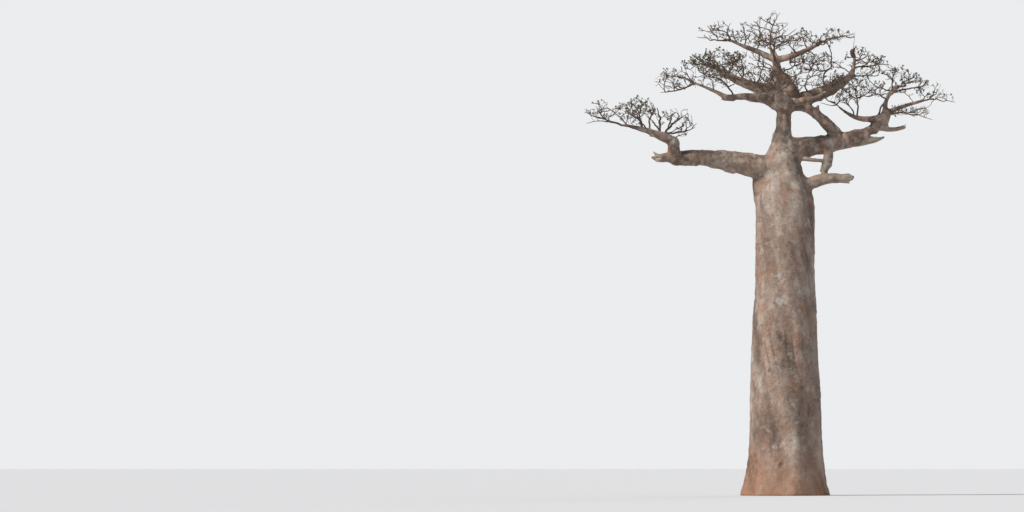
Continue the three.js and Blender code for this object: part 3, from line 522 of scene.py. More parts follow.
def skin_of(field, low):
    """Closed quad mesh where the field is zero, one point in each cell it crosses."""
    inside = field < 0
    count = np.zeros(tuple(n - 1 for n in field.shape), np.int8)
    sx, sy, sz = (n - 1 for n in field.shape)
    for i, j, k in CORNERS:
        count += inside[i:i + sx, j:j + sy, k:k + sz]
    cells = np.flatnonzero((count > 0) & (count < 8))
    number = np.full(count.shape, -1, np.int32)
    number.ravel()[cells] = np.arange(len(cells))
    ci, cj, ck = np.unravel_index(cells, count.shape)
    value = {c: field[ci + c[0], cj + c[1], ck + c[2]].astype(float) for c in CORNERS}
    place, hits = np.zeros((len(cells), 3)), np.zeros(len(cells))
    for a in CORNERS:
        for axis in range(3):
            if a[axis]:
                continue
            b = tuple(v + (m == axis) for m, v in enumerate(a))
            va, vb = value[a], value[b]
            cross = (va < 0) != (vb < 0)
            t = np.where(cross, va / np.where(va == vb, 1, va - vb), 0)
            p = np.repeat([a], len(cells), 0).astype(float)
            p[:, axis] += t
            place += p * cross[:, None]
            hits += cross
    points = (place / hits[:, None] + np.stack([ci, cj, ck], 1)) * VOXEL + low
    faces = []
    for axis in range(3):
        u, v = (axis + 1) % 3, (axis + 2) % 3
        lo = [slice(1, -1)] * 3
        lo[axis] = slice(0, -1)
        hi = list(lo)
        hi[axis] = slice(1, None)
        first, second = inside[tuple(lo)], inside[tuple(hi)]
        where = np.argwhere(first != second)
        out = first[tuple(where.T)]
        base = where.copy()
        base[:, u] += 1
        base[:, v] += 1
        quad = []
        for du, dv in ((0, 0), (-1, 0), (-1, -1), (0, -1)):
            c = base.copy()
            c[:, u] += du
            c[:, v] += dv
            quad.append(number[tuple(c.T)])
        quad = np.stack(quad, 1)
        quad[~out] = quad[~out][:, ::-1]
        faces.append(quad)
    return points, np.vstack(faces)


def mesh_object(name, points, faces, smooth=True):
    """A mesh object from arrays; faces is (n, 3) or (n, 4)."""
    mesh = bpy.data.meshes.new(name)
    mesh.vertices.add(len(points))
    mesh.vertices.foreach_set("co", np.asarray(points, np.float32).ravel())
    k = faces.shape[1]
    mesh.loops.add(faces.size)
    mesh.loops.foreach_set("vertex_index", faces.astype(np.int32).ravel())
    mesh.polygons.add(len(faces))
    mesh.polygons.foreach_set("loop_start", np.arange(0, faces.size, k, dtype=np.int32))
    mesh.update(calc_edges=True)
    mesh.validate()
    mesh.polygons.foreach_set("use_smooth", np.full(len(mesh.polygons), smooth))
    piece = bpy.data.objects.new(name, mesh)
    bpy.context.scene.collection.objects.link(piece)
    return piece


def normals_of(points, faces):
    n = np.zeros_like(points)
    a, b, c = points[faces[:, 0]], points[faces[:, 1]], points[faces[:, 2]]
    face = np.cross(b - a, c - a)
    if faces.shape[1] == 4:
        d = points[faces[:, 3]]
        face = np.cross(c - a, d - b)
    for k in range(faces.shape[1]):
        for m in range(3):
            n[:, m] += np.bincount(faces[:, k], face[:, m], len(points))
    return unit(n)


def relax(points, faces, rounds, share, fixed):
    """Evens the mesh out a little."""
    edges = np.vstack([faces[:, [k, (k + 1) % faces.shape[1]]] for k in range(faces.shape[1])])
    count = np.bincount(edges[:, 0], minlength=len(points))[:, None]
    for _ in range(rounds):
        total = np.stack([np.bincount(edges[:, 0], points[edges[:, 1], m], len(points)) for m in range(3)], 1)
        moved = points + (total / count - points) * share
        points = np.where(fixed[:, None], points, moved)
    return points


def limb_space(points):
    """For each point of the skin: the nearest limb's number, the point straightened
    along that limb (two across, one along), the limb's radius there, and how much
    farther off the next limb is."""
    x, y, z = points.T
    best = np.asarray(trunk_field(x, y, z))
    best[z > FORK_HEIGHT + 0.4] = 9
    second = np.full(len(points), 9.0)
    which = np.zeros(len(points), int)
    straight = points.copy()
    radius = np.hypot(x, y)
    for number, name in enumerate(LIMBS, 1):
        line = LINES[name]
        t = np.linspace(0, 1, 17)
        pts, rad = line.at(t), line.thick(t)
        pad = rad.max() + 0.5
        near = np.flatnonzero(((points > pts.min(0) - pad) & (points < pts.max(0) + pad)).all(1))
        if not len(near):
            continue
        p = points[near]
        low = np.full(len(near), 9.0)
        coord = np.zeros((len(near), 3))
        size = np.ones(len(near))
        gone = 0.0
        for a, b, ra, rb in zip(pts[:-1], pts[1:], rad[:-1], rad[1:]):
            d = b - a
            long = np.linalg.norm(d)
            t1 = np.clip((p - a) @ d / long ** 2, 0, 1)
            foot = a + t1[:, None] * d
            off = p - foot
            r = ra + (rb - ra) * t1
            dist = np.linalg.norm(off, axis=1) - r
            tangent = d / long
            across = unit(line.left - tangent * (line.left @ tangent))
            over = np.cross(across, tangent)
            took = dist < low
            low = np.where(took, dist, low)
            # past the ends the coordinate runs on
            along = gone + t1 * long
            c = np.stack([off @ across, off @ over, along + np.where((t1 <= 0) | (t1 >= 1), (p - foot) @ tangent, 0)], 1)
            coord = np.where(took[:, None], c, coord)
            size = np.where(took, r, size)
            gone += long
        took = low < best[near]
        second[near] = np.where(took, best[near], np.minimum(second[near], low))
        idx = near[took]
        best[idx] = low[took]
        which[idx] = number
        straight[idx] = coord[took] + np.array([3.7, 1.9, 5.3]) * number
        radius[idx] = size[took]
    return which, straight, radius, second - best


def ridge(values, sharp):
    """Narrow crests where smooth noise passes through nought."""
    return (1 - np.abs(values)) ** sharp


def bark_relief(points, normal, which, straight, radius, gap):
    """Moves the skin out and in by the bark's own shapes. Returns the moved
    points and what the colours need: furrows, wrinkles and scars for painted shade, and the relief height for painted
    shade in the hollows and painted light on the raised parts."""
    scale = np.clip(radius / 1.2, 0.08, 1.0)
    own = ease(gap, 0.0, 0.30)                 # shapes that follow one limb fade at its joins
    p = points
    q = straight.copy()
    q[:, :2] += 0.16 * np.stack([noise(q * (0.9, 0.9, 0.45), 101), noise(q * (0.9, 0.9, 0.45), 102)], 1)
    q[:, 2] += 0.42 * noise(q * (0.55, 0.55, 0.35), 103) + 0.12 * noise(q * (1.9, 1.9, 0.9), 104)
    # broad swellings and sags
    limbs = ease(p[:, 2], 14.6, 17.2)          # the trunk is the smoother
    lumps = layered(p * (0.60, 0.60, 0.42), 3, 3) * (0.030 + 0.045 * limbs)
    # long folds that run up the trunk and along the boughs, broken and leaning
    turn = np.arctan2(q[:, 1], q[:, 0]) + 0.16 * q[:, 2] * (which == 0)
    round_up = np.stack([np.cos(turn), np.sin(turn)], 1)
    long = np.column_stack([round_up * 2.1, q[:, 2] * 0.115])
    folds = 0.040 * noise(long, 41) + 0.024 * noise(long * (2.3, 2.3, 2.0) + 3, 42)
    furrow = ridge(noise(long * (1.55, 1.55, 1.3) + 9, 43), 9) * np.clip(0.25 + 1.6 * noise(p * 0.42, 44), 0, 1)
    # wrinkles across, in bands: tightest under boughs and at the foot
    band = np.clip(0.15 + 1.9 * noise(p * (0.5, 0.5, 0.62) + 7, 18), 0, 1)
    band = band * np.where(which == 0, 1.0, 0.32)
    wrinkle = ridge(noise(q * (0.55, 0.55, 3.1) + 2, 15), 4) * band
    ripple = noise(q * (0.8, 0.8, 5.6) + 4, 16) * band
    # blisters, hollows where limbs were shed, and burls
    d, mark = spots(p * 2.1, 24, 0.42)
    blister = np.clip(1 - d / (0.18 + 0.30 * mark), 0, 1) ** 1.4 * np.clip(0.3 + 1.5 * noise(p * 0.8, 25), 0, 1)
    warped = p + 0.13 * np.stack([noise(p * 2.2 + 3 * k, 33 + k) for k in range(3)], 1)
    d, mark = spots(warped * (0.95, 0.95, 0.66), 21, 0.50)
    size = 0.10 + 0.19 * mark
    dent = np.clip(1 - d / size, 0, 1) ** 0.7
    rim = np.exp(-((d - size * 1.15) / 0.07) ** 2)
    big, mark = spots(p * (0.42, 0.42, 0.36), 31, 0.40)
    burl = np.exp(-(big / (0.16 + 0.14 * mark)) ** 2)
    fine = layered(p * 3.4, 27, 2)
    out = (lumps + own * (folds - 0.060 * furrow - 0.026 * wrinkle + 0.010 * ripple)
           + 0.034 * blister - 0.055 * dent + 0.022 * rim + (0.050 + 0.040 * limbs) * burl + 0.011 * fine) * scale
    out = out + 0.0045 * noise(p * 6.5, 29)
    # knobs and nicks that roughen the boughs
    knobs = 0.050 * np.clip(noise(p * 3.6, 30), 0, 1) ** 1.5 + 0.016 * noise(p * 7.2, 31) - 0.010
    out = out + knobs * limbs * np.clip(radius / 0.35, 0.1, 1.0)
    # less at the flat cut, where the outline stays on the ground
    foot = ease(points[:, 2], 0.0, 0.15)
    out = out * (0.35 + 0.65 * foot)
    moved = points + normal * out[:, None]
    # relief height for the colours: painted shade in the low parts, painted light on the raised parts
    relief_shade = np.clip(0.5 + (out / scale - lumps) / 0.16, 0, 1)
    return moved, own * furrow, own * wrinkle, dent, relief_shade


print("field")
field, low = build_field()
points, faces = skin_of(field, low)
del field
print("skin", len(points), len(faces))
ground = points[:, 2] < VOXEL * 0.6
points = relax(points, faces, 2, 0.5, ground)
normal = normals_of(points, faces)
which, straight, radius, gap = limb_space(points)
points, furrow, wrinkle, scar, relief_shade = bark_relief(points, normal, which, straight, radius, gap)
points[:, 2] = np.where(ground, 0.0, np.maximum(points[:, 2], 0.0))

names = ["trunk"] + list(LIMBS)
bark = mesh_object("bark_skin", points, faces)


def put(mesh, name, kind, values):
    layer = mesh.attributes.new(name, kind, "POINT")
    layer.data.foreach_set("vector" if kind == "FLOAT_VECTOR" else "value", np.asarray(values, np.float32).ravel())


broken = np.zeros(len(points))
for name, depth in RAGGED.items():
    line = LINES[name]
    t = unit(line.end - line.at(0.93))
    s = (points - line.end) @ t
    mine = which == names.index(name)
    broken = np.maximum(broken, np.where(mine, ease(s, -1.5 * depth - 0.05, -0.3 * depth), 0))
for name in ("right_dead_stub", "dead_bar", "right_split_stub"):
    broken = np.maximum(broken, np.where(which == names.index(name), 0.6, 0))
put(bark.data, "bark_co", "FLOAT_VECTOR", straight)
# furrow, wrinkle and scar masks: the bark colour puts painted shade in these hollows
put(bark.data, "furrow", "FLOAT", furrow)
put(bark.data, "wrinkle", "FLOAT", wrinkle)
put(bark.data, "scar", "FLOAT", scar)
# the relief height, which the bark colour uses for painted shade and painted light
put(bark.data, "relief_shade", "FLOAT", relief_shade)
put(bark.data, "own", "FLOAT", ease(gap, 0.0, 0.30))
put(bark.data, "broken", "FLOAT", broken)
put(bark.data, "girth", "FLOAT", radius)
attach(bark, "root")
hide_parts("trunk", *LIMBS)


# ------------------------------------------------------------- growing the twigs
def inside_mass(name, count, own):
    """Scattered points in a mass: in clumps, thin and low at its outer edge."""
    middle, half, up, down, lean = MASSES[name]
    p = own.uniform(-1, 1, (count * 40 + 400, 3))
    r = np.hypot(p[:, 0], p[:, 1])
    away = unit(np.array([middle[0], middle[1], 1e-6])[:2])
    q = p[:, :2] @ away
    top = (1 - np.minimum(r, 1) ** 2) ** 0.6 * (1 - 0.30 * q)
    foot = (1 - np.minimum(r, 1) ** 2) ** 0.6 * (1 - 0.15 * q)
    keep = (r < 1) & (p[:, 2] < top) & (p[:, 2] > -foot)
    flat = p * (half[0], half[1], 1.0)
    flat[:, 2] = p[:, 2] * np.where(p[:, 2] > 0, up, down)
    flat[:, 2] += lean * flat[:, 0]
    where = flat + np.array(middle)
    clump = noise(where * (1.7, 1.7, 2.2), 51) + 0.55 * noise(where * 4.1, 52)
    keep &= clump + own.normal(0, 0.10, len(p)) > CLUMPED
    high = np.clip(p[:, 2] / np.maximum(top, 0.05), 0, 1)
    keep &= own.uniform(size=len(p)) < 0.30 + 0.70 * np.maximum(high, r) ** 1.5
    where = where[keep]
    span = max(half) + 1.0
    close = (np.abs(WOOD[:, :3] - np.array(middle)) < span).all(1)
    if close.any():     # room is left round the wood that is already there
        gap = np.sqrt(((where[:, None] - WOOD[close][None, :, :3]) ** 2).sum(2)) - WOOD[close][None, :, 3]
        where = where[gap.min(1) > 0.13]
    return where[:count]


WOOD = np.concatenate([np.column_stack(LINES[name].points(0.12)) for name in LIMBS])


CLUMPED = -0.20       # how patchy the twigs are


nodes, parent, way, guide_radius, mass_of = [], [], [], [], []     # all growing points


def add_node(point, before, direction, radius=0.0, mass=0):
    nodes.append(point)
    parent.append(before)
    way.append(direction)
    guide_radius.append(radius)
    mass_of.append(mass)
    return len(nodes) - 1


foot_of = {}     # guide name: list of its node numbers


def add_guide(name):
    line = LINES[name]
    on = GUIDES[name][0]
    n = max(3, int(line.length / 0.085) + 1)
    t = np.linspace(0, 1, n)
    slim = 0.70 if name[:2] in ("la", "lr") else 1.0 if name == "rc_knob" else 0.62
    start = ease(t, 0.0, 0.3) if GUIDES[name][1] > 0.93 else 1.0
    pts, rad = line.at(t), line.thick(t) * (1 - (1 - slim) * start)
    swing = np.sin(math.pi * t)[:, None] * (0.25 if name == "rc_shoot" else 1.0)
    pts = pts + 0.085 * swing * np.stack([noise(line.at(t) * 2.3 + 3.1 * k, 61 + k) for k in range(3)], 1)
    pts = pts + 0.05 * swing * np.stack([noise(line.at(t) * 5.5 + 5.1 * k, 71 + k) for k in range(3)], 1)
    before = -1
    if on in foot_of:
        before = min(foot_of[on], key=lambda i: float(((nodes[i] - pts[0]) ** 2).sum()))
        pts[0] = nodes[before]
    chain = []
    for k, p in enumerate(pts):
        if k == 0 and before >= 0:
            chain.append(before)
            continue
        ahead = unit(pts[min(k + 1, n - 1)] - pts[max(k - 1, 0)])
        before = add_node(p, before, ahead, float(rad[k]))
        chain.append(before)
    foot_of[name] = chain


for name in GUIDES:
    add_guide(name)
# buds may also come straight out of the thin ends of the limbs
limb_buds = []
for name in LIMBS:
    if name in RAGGED or name in ("neck", "left_riser", "right_bough", "crown_strut", "right_shoulder"):
        continue
    line = LINES[name]
    first = 0.5 if name == "leader" else 0.35 if line.radius[2] > 0.09 else 0.2
    for t in np.arange(first, 1.001, 0.14 / line.length):
        limb_buds.append(add_node(line.at(t), -1, unit(line.end - line.start), float(line.thick(t))))
old_wood = len(nodes)
sons_of = {}


def grow(name, share, step, stop, reach, forks, wild, own):
    """Fills one mass with stems that reach for scattered points in it."""
    middle, half, up, down, lean = MASSES[name]
    fill = FILL.get(name, (0.9, 0.8))[0]
    volume = 4.19 * half[0] * half[1] * (up + down) / 2
    count = int(share * (fill * volume ** 0.85 + 0.25))
    goal = inside_mass(name, count, own)
    span = max(half) + 1.1
    pos = np.array(nodes)
    near = np.flatnonzero((np.abs(pos - np.array(middle)) < span).all(1))

    def cost_of(numbers):
        """How far each goal is from each node; turning back or down counts as longer."""
        pts = np.array([nodes[i] for i in numbers])
        heads = np.array([way[i] for i in numbers])
        gap = goal[:, None] - pts[None]
        d = np.sqrt((gap ** 2).sum(2))
        turn = (gap * heads[None]).sum(2) / np.maximum(d, 1e-6)
        drop = np.maximum(-gap[..., 2] / np.maximum(d, 1e-6), 0)
        return d * (1.6 - 0.6 * turn) * (1 + 1.1 * drop), d

    cost, d = cost_of(near)
    pick = cost.argmin(1)
    rows = np.arange(len(goal))
    best, dist, owner = cost[rows, pick], d[rows, pick], near[pick]
    alive = np.ones(len(goal), bool)
    for turn in range(60):
        active = alive & (best < reach)
        if not active.any():
            break
        order = np.argsort(owner[active], kind="stable")
        who, pull = owner[active][order], goal[active][order]
        starts = np.flatnonzero(np.r_[True, who[1:] != who[:-1]])
        ends = np.r_[starts[1:], len(who)]
        new = []
        for s, e in zip(starts, ends):
            i = int(who[s])
            if sons_of.get(i, 0) >= forks:
                continue
            aim = unit(unit(pull[s:e] - nodes[i]).sum(0))
            direction = unit(aim + way[i] * 0.55 + unit(own.normal(0, 1, 3)) * wild + np.array([0, 0, 0.2]))
            new.append(add_node(nodes[i] + direction * step * own.uniform(0.8, 1.25), i, direction,
                                mass=list(MASSES).index(name)))
            sons_of[i] = sons_of.get(i, 0) + 1
        if not new:
            break
        cost, d = cost_of(new)
        pick = cost.argmin(1)
        low, far = cost[rows, pick], d[rows, pick]
        better = low < best
        best, dist = np.where(better, low, best), np.where(better, far, dist)
        owner = np.where(better, np.array(new)[pick], owner)
        alive &= d.min(1) > stop


def sprout(first, own):
    """Ends each shoot in one to three short spurs that turn up and out."""
    last = len(nodes)
    bare = [i for i in range(first, last) if sons_of.get(i, 0) == 0]
    for i in bare:
        for _ in range(int(own.integers(1, 4))):
            here, ahead = i, way[i]
            out = unit(np.array([nodes[i][0], nodes[i][1], 0.0]))
            for _ in range(int(own.integers(1, 4))):
                ahead = unit(ahead * 0.75 + unit(own.normal(0, 1, 3)) * 0.8 + out * 0.15 + np.array([0, 0, 0.22]))
                here = add_node(nodes[here] + ahead * own.uniform(0.045, 0.075), here, ahead, mass=mass_of[i])


for number, name in enumerate(MASSES):
    own = np.random.default_rng(SEED * 1000 + number)
    first = len(nodes)
    grow(name, 8, 0.14, 0.26, 1.7, 2, 0.50, own)       # branches
    grow(name, 30, 0.10, 0.13, 1.0, 2, 0.65, own)      # twigs
    grow(name, 60, 0.07, 0.085, 0.55, 2, 0.80, own)    # shoots
    sprout(first, own)                                 # and their forked tips
# the long bare shoot on the knob, and the hook on the dead stub, grow nothing more
for name, spec in LATE.items():
    add_lines({name: spec})
    GUIDES[name] = spec
    add_guide(name)


# ------------------------------------------------------- twigs as tapering tubes
nodes = np.array(nodes)
parent = np.array(parent)
way = np.array(way)
total = len(nodes)
guide_radius = np.array(guide_radius)
mass_of = np.array(mass_of)
sons = [[] for _ in range(total)]
for i in range(total - 1, -1, -1):
    if parent[i] >= 0:
        sons[parent[i]].append(i)
# the pipe rule: a stem's girth is the sum of what it carries
TIP = 0.009
PIPE = 3.2
load = np.zeros(total)
tip_gap = np.zeros(total)        # steps to the farthest tip beyond
for i in range(total - 1, -1, -1):
    if load[i] == 0:
        load[i] = TIP ** PIPE
    if parent[i] >= 0:
        load[parent[i]] += load[i] * 1.012
        tip_gap[parent[i]] = max(tip_gap[parent[i]], tip_gap[i] + 1)
girth = np.minimum(load ** (1 / PIPE), 0.05)
girth = np.where(guide_radius > 0, np.maximum(guide_radius, np.minimum(girth, guide_radius * 1.3)), girth)
# a little knobbly: stems swell at forks and bud scars
girth = girth * (1 + 0.16 * (np.array([len(s) for s in sons]) > 1) + 0.10 * noise(nodes * 9.0, 81))
is_bud = np.zeros(total, bool)
is_bud[np.array(limb_buds, int)] = True


def chains():
    """Runs of nodes from a fork (or foot) to the next tip, thickest son first."""
    done = np.zeros(total, bool)
    out = []
    for i in range(total):
        if done[i]:
            continue
        p = parent[i]
        run = [] if p < 0 else [p]
        here = i
        while True:
            done[here] = True
            run.append(here)
            rest = [s for s in sons[here] if not done[s]]
            if not rest:
                break
            here = max(rest, key=lambda s: (guide_radius[s] > 0, load[s]))
        if len(run) > 1 and not (is_bud[run[0]] and len(run) == 1):
            out.append(run)
    return out


def tube(pts, rad, sides, verts, faces, turns, closed_tip=True):
    """Adds a closed tapering tube along pts."""
    n = len(pts)
    ahead = np.empty_like(pts)
    ahead[1:-1] = pts[2:] - pts[:-2]
    ahead[0], ahead[-1] = pts[1] - pts[0], pts[-1] - pts[-2]
    ahead = unit(ahead)
    side = np.cross(ahead[0], (0.31, 0.17, 0.93))
    if np.linalg.norm(side) < 0.05:
        side = np.cross(ahead[0], (1.0, 0.0, 0.0))
    side = unit(side)
    base = sum(len(v) for v in verts)
    angle = np.arange(sides) * 2 * math.pi / sides + turns
    rings = np.empty((n, sides, 3))
    for k in range(n):
        side = unit(side - ahead[k] * (side @ ahead[k]))
        over = np.cross(ahead[k], side)
        rings[k] = pts[k] + rad[k] * (np.cos(angle)[:, None] * side + np.sin(angle)[:, None] * over)
    verts.append(rings.reshape(-1, 3))
    k = np.arange(n - 1)[:, None] * sides
    j = np.arange(sides)[None, :]
    a, b = k + j, k + (j + 1) % sides
    quads = np.stack([a, b, b + sides, a + sides], 2).reshape(-1, 4)
    tris = np.vstack([quads[:, [0, 1, 2]], quads[:, [0, 2, 3]]])
    cap = [[0, m + 1, m] for m in range(1, sides - 1)]
    end = (n - 1) * sides
    cap += [[end, end + m, end + m + 1] for m in range(1, sides - 1)]
    faces.append(np.vstack([tris, np.array(cap)]) + base)


runs = chains()
print("runs", len(runs), "nodes", total)
TWIG_PIECES = {}


def piece_of(owner):
    """The twigs go into pieces by the side of the plant they are on."""
    x, y, z = owner
    if z > 22.4:
        return "top"
    if x < -5.0 and z < 20.3:
        return "low_left"
    return "left" if x < -0.6 else "right"


made = np.zeros(total, bool)
for run in runs:
    pts = nodes[run].copy()
    rad = girth[run].copy()
    if is_bud[run[0]] and parent[run[0]] < 0:
        pass
    elif parent[run[0]] >= 0 or not is_bud[run[0]]:
        pass
    # a side stem starts no thicker than it goes on
    if len(run) > 1 and sons[run[0]] and run[1] in sons[run[0]]:
        rad[0] = min(rad[0], rad[1] * 1.25)
    if guide_radius[run[-1]] == 0:      # stubby ends
        rad[-1] *= 1.15
    thick = rad.max()
    sides = 6 if thick > 0.06 else 5 if thick > 0.035 else 4 if thick > 0.022 else 3
    key = piece_of(pts[len(pts) // 2])
    box = TWIG_PIECES.setdefault(key, ([], []))
    tube(pts, rad, sides, box[0], box[1], float(run[0] % 7))
count_all = 0
for key, (verts, faces) in TWIG_PIECES.items():
    v, f = np.vstack(verts), np.vstack(faces)
    print("twigs", key, "verts", len(v), "tris", len(f))
    count_all += len(f)
print("all twig triangles", count_all)


twig_pieces = []
for key, (verts, faces) in TWIG_PIECES.items():
    piece = mesh_object("twigs_" + key, np.vstack(verts), np.vstack(faces))
    twig_pieces.append(piece)
    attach(piece, "root")
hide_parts(*MASSES)


# ------------------------------------------------------------------------ leaves
def leaf_hand():
    """One palmate leaf of length 1: five folded blades in a hand, its foot at 0."""
    verts, faces = [], []
    for angle, size in ((-76, 0.62), (-38, 0.88), (0, 1.0), (38, 0.88), (76, 0.62)):
        a = math.radians(angle)
        ahead, side = np.array([math.cos(a), math.sin(a), 0.0]), np.array([-math.sin(a), math.cos(a), 0.0])
        base = len(verts)
        middle = ahead * 0.58 * size
        verts += [ahead * 0.05, middle + side * 0.16 * size + (0, 0, 0.05),
                  ahead * size - np.array([0, 0, 0.12]), middle - side * 0.16 * size + (0, 0, 0.05)]
        faces += [(base, base + 1, base + 2), (base, base + 2, base + 3)]
    return np.array(verts, float), np.array(faces)


def turned(ahead, roll):
    """Rotations whose first axis is ahead, rolled about it."""
    side = unit(np.cross(ahead, np.array([0.2, 0.1, 1.0]) + 0.0 * ahead))
    over = np.cross(ahead, side)
    c, s = np.cos(roll)[:, None], np.sin(roll)[:, None]
    return np.stack([ahead, side * c + over * s, over * c - side * s], 2)


leaf_points, leaf_faces = leaf_hand()
own = np.random.default_rng(SEED + 7)
tip_nodes = np.array([run[-1] for run in runs if guide_radius[run[-1]] == 0])
tip_mass = mass_of[tip_nodes]
leafy = np.array([FILL.get(name, (0.9, 0.7))[1] for name in MASSES])
chosen = own.uniform(size=len(tip_nodes)) < LEAF_SHARE * leafy[tip_mass] * (
    0.5 + 0.8 * (noise(nodes[tip_nodes] * 1.9, 93) > 0.0))
tips = tip_nodes[chosen]
kinds = own.integers(0, 3, len(MASSES) * 9)
# a spray is the tips that hang on the same bough part: one colour each
spray = (np.floor(nodes[tips] * 1.6).astype(int) * (3, 7, 13)).sum(1) % len(kinds)
kind = kinds[spray]
LEAF_KINDS = ("leaves_olive", "leaves_dull", "leaves_dry")
leaf_pieces = []
for number, name in enumerate(LEAF_KINDS):
    mine = tips[kind == number]
    if not len(mine):
        continue
    each = 3
    foot = np.repeat(nodes[mine], each, 0)
    ahead = np.repeat(way[mine], each, 0)
    ahead = unit(ahead * 0.8 + own.normal(0, 0.75, ahead.shape) + (0, 0, 0.10))
    size = own.uniform(0.065, 0.115, len(foot))
    turn = turned(ahead, own.uniform(0, 2 * math.pi, len(foot)))
    pts = np.einsum("nij,kj->nki", turn, leaf_points) * size[:, None, None] + foot[:, None]
    faces = leaf_faces[None] + (np.arange(len(foot)) * len(leaf_points))[:, None, None]
    piece = mesh_object(name, pts.reshape(-1, 3), faces.reshape(-1, 3), smooth=False)
    leaf_pieces.append(piece)
    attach(piece, "root")
    print(name, "tris", len(faces.reshape(-1, 3)))


# --------------------------------------------------------------------- materials
class Nodes:
    """A short way to write a material's nodes."""

    def __init__(self, name):
        self.material = bpy.data.materials.new(name)
        self.material.use_nodes = True
        self.tree = self.material.node_tree
        self.shader = self.tree.nodes["Principled BSDF"]

    def add(self, kind, **values):
        node = self.tree.nodes.new("ShaderNode" + kind)
        for key, value in values.items():
            if hasattr(node, key):
                setattr(node, key, value)
        return node

    def link(self, a, b):
        self.tree.links.new(a, b)

    def attribute(self, name):
        node = self.add("Attribute")
        node.attribute_name = name
        return node

    def scaled(self, vector, scale):
        node = self.add("Mapping")
        node.inputs["Scale"].default_value = scale
        self.link(vector, node.inputs["Vector"])
        return node.outputs["Vector"]

    def noise(self, vector, scale, detail=4.0, rough=0.55, distort=0.0):
        node = self.add("TexNoise")
        node.inputs["Scale"].default_value = scale
        node.inputs["Detail"].default_value = detail
        node.inputs["Roughness"].default_value = rough
        node.inputs["Distortion"].default_value = distort
        self.link(vector, node.inputs["Vector"])
        return node.outputs["Fac"]

    def ramp(self, value, *stops):
        node = self.add("ValToRGB")
        while len(node.color_ramp.elements) < len(stops):
            node.color_ramp.elements.new(0.5)
        for element, (at, colour) in zip(node.color_ramp.elements, stops):
            element.position = at
            element.color = (*colour, 1.0) if len(colour) == 3 else colour
        self.link(value, node.inputs["Fac"])
        return node.outputs["Color"]

    def math(self, kind, a, b=None, clamp=False):
        node = self.add("Math", operation=kind)
        node.use_clamp = clamp
        for socket, value in zip(node.inputs, (a, b)):
            if value is None:
                continue
            if isinstance(value, (int, float)):
                socket.default_value = value
            else:
                self.link(value, socket)
        return node.outputs[0]

    def mix(self, kind, fac, a, b):
        node = self.add("Mix")
        node.data_type = "RGBA"
        node.blend_type = kind
        for socket, value in ((node.inputs["Factor"], fac), (node.inputs[6], a), (node.inputs[7], b)):
            if isinstance(value, (int, float)):
                socket.default_value = value
            elif isinstance(value, tuple):
                socket.default_value = (*value, 1.0)
            else:
                self.link(value, socket)
        return node.outputs[2]

    def bump(self, height, strength, distance, before=None):
        node = self.add("Bump")
        node.inputs["Strength"].default_value = strength
        node.inputs["Distance"].default_value = distance
        self.link(height, node.inputs["Height"])
        if before is not None:
            self.link(before, node.inputs["Normal"])
        return node.outputs["Normal"]


def grey(value):
    return (value, value, value)


